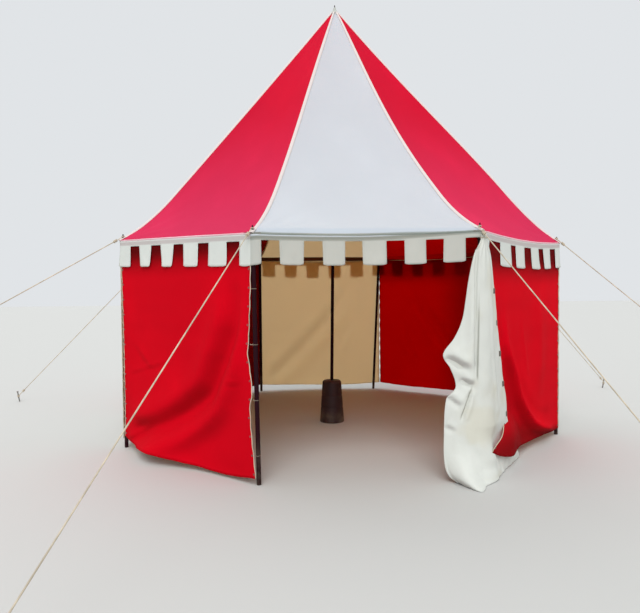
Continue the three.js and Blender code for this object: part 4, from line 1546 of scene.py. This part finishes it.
class TENT_OT_poles(Operator):
    """Makes the eight corner poles, the centre pole on its drum, and the cap at the apex"""

    bl_idname = "tent.poles"
    bl_label = "Poles, Drum and Cap"

    def execute(self, context):
        steps = context.scene.tent_sizes.turned_steps
        rim = POLE_REACH + POLE_RADIUS / math.cos(HALF_ANGLE)
        for index, corner in enumerate(CORNERS):
            shoulder = hip_height(rim) - hip_slack(index, rim) - ROOF_SEAT
            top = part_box(f"corner_pole_{corner}")[1].z
            mesh = bmesh.new()
            collar, low = POLE_RADIUS + COLLAR, shoulder - COLLAR_HEIGHT
            profile = softened([
                (0, 0), (POLE_RADIUS, 0), (POLE_RADIUS, low), (collar, low + SHORT_STEP), (collar, shoulder),
                (SPIGOT_RADIUS, shoulder), (SPIGOT_RADIUS, top), (0, top)], TURNED_EDGE)
            add_turned(mesh, profile, steps, Matrix.Translation(corner_direction(index) * POLE_REACH))
            lean_below(mesh, shoulder, 0.0, pole_shift(index))
            finished_piece(
                f"pole_{corner}", mesh, ["black_pole_paint"], [f"corner_pole_{corner}"], 35)

        mesh = bmesh.new()
        foot, top = BASE_HIGH.z, hip_height(POLE_RADIUS / math.cos(HALF_ANGLE)) - ROOF_SEAT
        joint = (foot + top) / 2
        low, high = joint - SLEEVE_HALF, joint + SLEEVE_HALF
        sleeve = POLE_RADIUS + SLEEVE
        profile = softened([
            (0, foot), (POLE_RADIUS, foot), (POLE_RADIUS, low), (sleeve, low + SHORT_STEP),
            (sleeve, high - SHORT_STEP), (POLE_RADIUS, high), (POLE_RADIUS, top), (SPIGOT_RADIUS, top),
            (SPIGOT_RADIUS, PIN_TOP), (0, PIN_TOP)], TURNED_EDGE)
        add_turned(mesh, profile, steps)
        lean_below(mesh, top, foot, foot_shift("centre_pole", Vector()))
        finished_piece("middle_pole", mesh, ["black_pole_paint"], ["centre_pole"], 35)

        mesh = bmesh.new()
        wide, high = BASE_HIGH.y, BASE_HIGH.z
        groove = [
            (lerp(wide, BASE_TOP_RADIUS, level / high), level) for level in (0.03, 0.17, 0.19, 0.31, 0.33)]
        profile = softened([
            (0, 0), (wide, 0), groove[0], groove[1], (groove[1][0] - DRUM_GROOVE, 0.18),
            groove[2], groove[3], (groove[3][0] - DRUM_GROOVE, 0.32), groove[4],
            (BASE_TOP_RADIUS, high - DRUM_RIM), (BASE_TOP_RADIUS - DRUM_RIM, high),
            (POLE_RADIUS + 0.012, high), (POLE_RADIUS + 0.010, high - 0.006), (0, high - 0.006)], DRUM_EDGE)
        add_turned(mesh, profile, 2 * steps, Matrix.Translation(((BASE_LOW.x + BASE_HIGH.x) / 2, 0, 0)))
        finished_piece("base_drum", mesh, ["drum_plastic"], ["centre_pole_base"], 50)

        mesh = bmesh.new()
        seat = hip_height(CAP_REACH) + CAP_GAP
        hole = SPIGOT_RADIUS + 0.0005
        inner_foot = (hole, hip_height(hole) + CAP_GAP)
        slope = [
            (reach, hip_height(reach) + rise)
            for reach, rise in ((0.034, 0.0115), (0.022, 0.0135), (0.017, 0.019))]
        profile = [
            inner_foot, (CAP_REACH - 0.003, seat + 0.001), (CAP_REACH, seat + 0.004),
            (CAP_REACH - 0.002, seat + 0.009), *slope, (0.0155, CAP_TOP - 0.006),
            (0.013, CAP_TOP - 0.0015), (0.010, CAP_TOP), (hole, CAP_TOP - 0.001), inner_foot]
        add_turned(mesh, profile, steps)
        finished_piece("apex_collar", mesh, ["valance_canvas"], ["apex_cap"], 50)
        return {"FINISHED"}


def peg_frame(index):
    """The foot of a peg and the direction in which it leans."""
    outward = corner_direction(index)
    middle = box_middle(f"ground_peg_{CORNERS[index]}")
    reach = middle.to_2d().dot(outward.to_2d()) - math.tan(PEG_LEAN) * PEG_HEIGHT / 2 - 0.002
    return outward * reach, Vector((*(outward * math.sin(PEG_LEAN)).to_2d(), math.cos(PEG_LEAN)))


# The hitches that hold a rope to itself: how far they are from its upper and lower end, and their turns.
HITCH_BELOW_SPIGOT = 0.085
HITCH_ABOVE_PEG = 0.110
HITCH_TURNS = 3.5
HITCH_LENGTH = 0.036
ROPE_CLEARANCE = 0.0006


class TENT_OT_ropes(Operator):
    """Stretches the eight guy ropes from the spigots to their pegs"""

    bl_idname = "tent.ropes"
    bl_label = "Guy Ropes and Pegs"

    def execute(self, context):
        sizes = context.scene.tent_sizes
        radius = sizes.rope_diameter / 2
        for index, corner in enumerate(CORNERS):
            outward = corner_direction(index)
            foot, lean = peg_frame(index)
            inside = POLE_REACH - 0.015
            seat = hip_height(inside) - hip_slack(index, inside) + 0.0025
            spigot = outward * POLE_REACH + UP * (seat + 0.010)
            peg = foot + lean * (PEG_KNOT_HEIGHT / lean.z)
            top = coil_path(
                spigot, UP, outward, SPIGOT_RADIUS + radius + ROPE_CLEARANCE, 1.25, -2 * radius * 0.9,
                -2 * math.pi * 1.5)
            low = coil_path(
                peg, lean, outward, PEG_RADIUS + radius + ROPE_CLEARANCE, 2.25, -2 * radius * 2.25,
                -math.pi / 2)
            start, end = top[-1], low[0]
            count = round((end - start).length / (sizes.rope_lay / 7))
            run = [start.lerp(end, step / count) for step in range(1, count)]
            mesh = bmesh.new()
            add_cord(mesh, [*top, *run, *low], radius, 9, lay=sizes.rope_lay)
            along = (end - start).normalized()
            for place in (start + along * HITCH_BELOW_SPIGOT, end - along * HITCH_ABOVE_PEG):
                hitch = coil_path(place, along, UP, 2 * radius + 0.0003, HITCH_TURNS, HITCH_LENGTH, 0)
                add_cord(mesh, hitch, radius, 8, lay=sizes.rope_lay)
            finished_piece(f"guy_line_{corner}", mesh, ["laid_rope"], [f"guy_rope_{corner}"])

            mesh = bmesh.new()
            shank = PEG_HEIGHT / lean.z - PEG_HEAD
            head = shank + PEG_HEAD - 0.002
            profile = softened([
                (0, 0), (PEG_RADIUS, 0), (PEG_RADIUS, shank), (PEG_HEAD_RADIUS, shank),
                (PEG_HEAD_RADIUS, head), (0, head)], TURNED_EDGE)
            turn = UP.rotation_difference(lean).to_matrix().to_4x4()
            add_turned(mesh, profile, sizes.turned_steps // 2, Matrix.Translation(foot) @ turn)
            bmesh.ops.bisect_plane(
                mesh, geom=mesh.verts[:] + mesh.edges[:] + mesh.faces[:], plane_co=(0, 0, 0), plane_no=UP,
                clear_inner=True)
            finished_piece(f"peg_{corner}", mesh, ["bare_steel"], [f"ground_peg_{corner}"], 40)
        return {"FINISHED"}


# The loops of the front left wall pass through each third eyelet and round the pole.
LOOP_EVERY = 3
LOOP_DEPTH = 0.036
LOOP_STEPS = 24
LOOP_RIGHT = 0.030
CORD_DROP = 0.004


def tie_loop(index, left_edge, height, lean):
    """A loop of cord through an eyelet and round the corner pole."""
    middle, half = (left_edge + LOOP_RIGHT) / 2, (LOOP_RIGHT - left_edge) / 2
    path = []
    for step in range(LOOP_STEPS + 1):
        angle = 2 * math.pi * (step % LOOP_STEPS) / LOOP_STEPS
        out = LOOP_DEPTH * (math.sin(angle) - 1) + 0.004
        path.append(near_corner(index, middle + half * math.cos(angle), out, height) + lean)
    return path


class TENT_OT_lacing(Operator):
    """Laces the walls together round the corner poles, and ties the front left one to its pole"""

    bl_idname = "tent.lacing"
    bl_label = "Lacing and Ties"

    def execute(self, context):
        sizes = context.scene.tent_sizes
        radius = sizes.lacing_diameter / 2
        half = SIDE_LENGTH / 2
        for index, corner in enumerate(CORNERS):
            if corner == "front_right":
                continue
            left = wall_look((index - 1) % SIDES)
            right = None if corner == "front_left" else wall_look(index)
            shift = pole_shift(index)
            low = table_row(left.hem, 1.0)[0]
            mesh = bmesh.new()
            points = []
            for number in range(EYELET_COUNT):
                height = eyelet_height(number, low)
                left_edge = table_row(left.edges, height)[1] - EYELET_INSET - half
                if not right:
                    if number % LOOP_EVERY == 1:
                        lean = Vector((shift * (1 - height / EAVE_HEIGHT), 0, 0))
                        loop = tie_loop(index, left_edge, height - CORD_DROP, lean)
                        add_cord(mesh, loop, radius * 0.7, 7)
                    continue
                step = 0.45 * (eyelet_height(1, low) - low)
                right_edge = table_row(right.edges, height)[0] + EYELET_INSET + half
                points += [
                    near_corner(index, left_edge, 0.002, height - CORD_DROP),
                    near_corner(index, 0.0, -0.001, height + 0.25 * step),
                    near_corner(index, right_edge, 0.002, height + step),
                    near_corner(index, 0.0, -0.001, height + 1.5 * step)]
            if points:
                add_cord(mesh, smooth_path(points[:-3], 5), radius, 7, lay=sizes.rope_lay / 2)
            finished_piece(f"lacing_{corner}", mesh, ["laid_rope"])
        return {"FINISHED"}


# The studio

FLOOR_SIZE = 60.0
FLOOR_GREY = (0.55, 0.55, 0.53, 1)
SKY_COLOUR = (0.94, 0.97, 1.0, 1)
SKY_STRENGTH = 0.80
# Each soft light: its name, strength, width in degrees and direction.
SOFT_LIGHTS = (("soft_key", 1.75, 40, (0.15, 1.0, -1.05)), ("soft_back", 0.9, 60, (0.2, -1.0, -0.8)))
FILM_WIDTH = 36.0


class TENT_OT_stage(Operator):
    """Makes the pale floor, the soft lights and the camera at the photo's viewpoint"""

    bl_idname = "tent.stage"
    bl_label = "Studio and Camera"

    def execute(self, context):
        scene = context.scene
        mesh = bmesh.new()
        bmesh.ops.create_grid(mesh, x_segments=1, y_segments=1, size=FLOOR_SIZE)
        data = bpy.data.meshes.new("studio_floor")
        mesh.to_mesh(data)
        mesh.free()
        finish = Finish("studio_floor", scene.tent_colours)
        data.materials.append(finish.done(finish.surface({
            "Base Color": FLOOR_GREY, "Roughness": 0.9, "Specular IOR Level": 0.1})))
        floor = bpy.data.objects.new("studio_floor", data)
        scene.collection.objects.link(floor)

        world = bpy.data.worlds.new("studio_light")
        world.use_nodes = True
        background = world.node_tree.nodes["Background"]
        background.inputs["Color"].default_value = SKY_COLOUR
        background.inputs["Strength"].default_value = SKY_STRENGTH
        scene.world = world

        for name, strength, degrees, aim in SOFT_LIGHTS:
            light = bpy.data.lights.new(name, "SUN")
            light.energy = strength
            light.angle = math.radians(degrees)
            light_object = bpy.data.objects.new(name, light)
            light_object.rotation_euler = Vector(aim).to_track_quat("-Z", "Y").to_euler()
            scene.collection.objects.link(light_object)
        scene.view_settings.view_transform = "Standard"

        lens = bpy.data.cameras.new("photo_camera")
        lens.sensor_width = FILM_WIDTH
        lens.lens = FILM_WIDTH * FOCAL_PIXELS / PHOTO_WIDTH
        camera = bpy.data.objects.new("photo_camera", lens)
        camera.matrix_world = (
            Matrix.Translation(CAMERA_PLACE) @ Matrix.Rotation(math.radians(-CAMERA_YAW), 4, "Z")
            @ Matrix.Rotation(math.radians(90 + CAMERA_PITCH), 4, "X")
            @ Matrix.Rotation(math.radians(CAMERA_ROLL), 4, "Z"))
        scene.collection.objects.link(camera)
        scene.camera = camera
        return {"FINISHED"}


PIECE_OPERATORS = (
    TENT_OT_stage, TENT_OT_roof, TENT_OT_hip_tapes, TENT_OT_valance, TENT_OT_walls, TENT_OT_curtain,
    TENT_OT_poles, TENT_OT_ropes, TENT_OT_lacing,
)


class VIEW3D_PT_tent(Panel):
    """Lists the tent's pieces, sizes and colours"""

    bl_label = "Circus Pavilion Tent"
    bl_space_type = "VIEW_3D"
    bl_region_type = "UI"
    bl_category = "Tent"

    def draw(self, context):
        for group in (context.scene.tent_sizes, context.scene.tent_colours):
            box = self.layout.box()
            for name in group.__annotations__:
                box.prop(group, name)
        for operator in PIECE_OPERATORS:
            self.layout.operator(operator.bl_idname)


CLASSES = (TentSizes, TentColours, *PIECE_OPERATORS, VIEW3D_PT_tent)


def register():
    for item in CLASSES:
        bpy.utils.register_class(item)
    bpy.types.Scene.tent_sizes = PointerProperty(type=TentSizes)
    bpy.types.Scene.tent_colours = PointerProperty(type=TentColours)


def unregister():
    del bpy.types.Scene.tent_colours
    del bpy.types.Scene.tent_sizes
    for item in reversed(CLASSES):
        bpy.utils.unregister_class(item)


def main():
    register()
    for operator in PIECE_OPERATORS:
        group, name = operator.bl_idname.split(".")
        getattr(getattr(bpy.ops, group), name)()


if __name__ == "__main__":
    main()
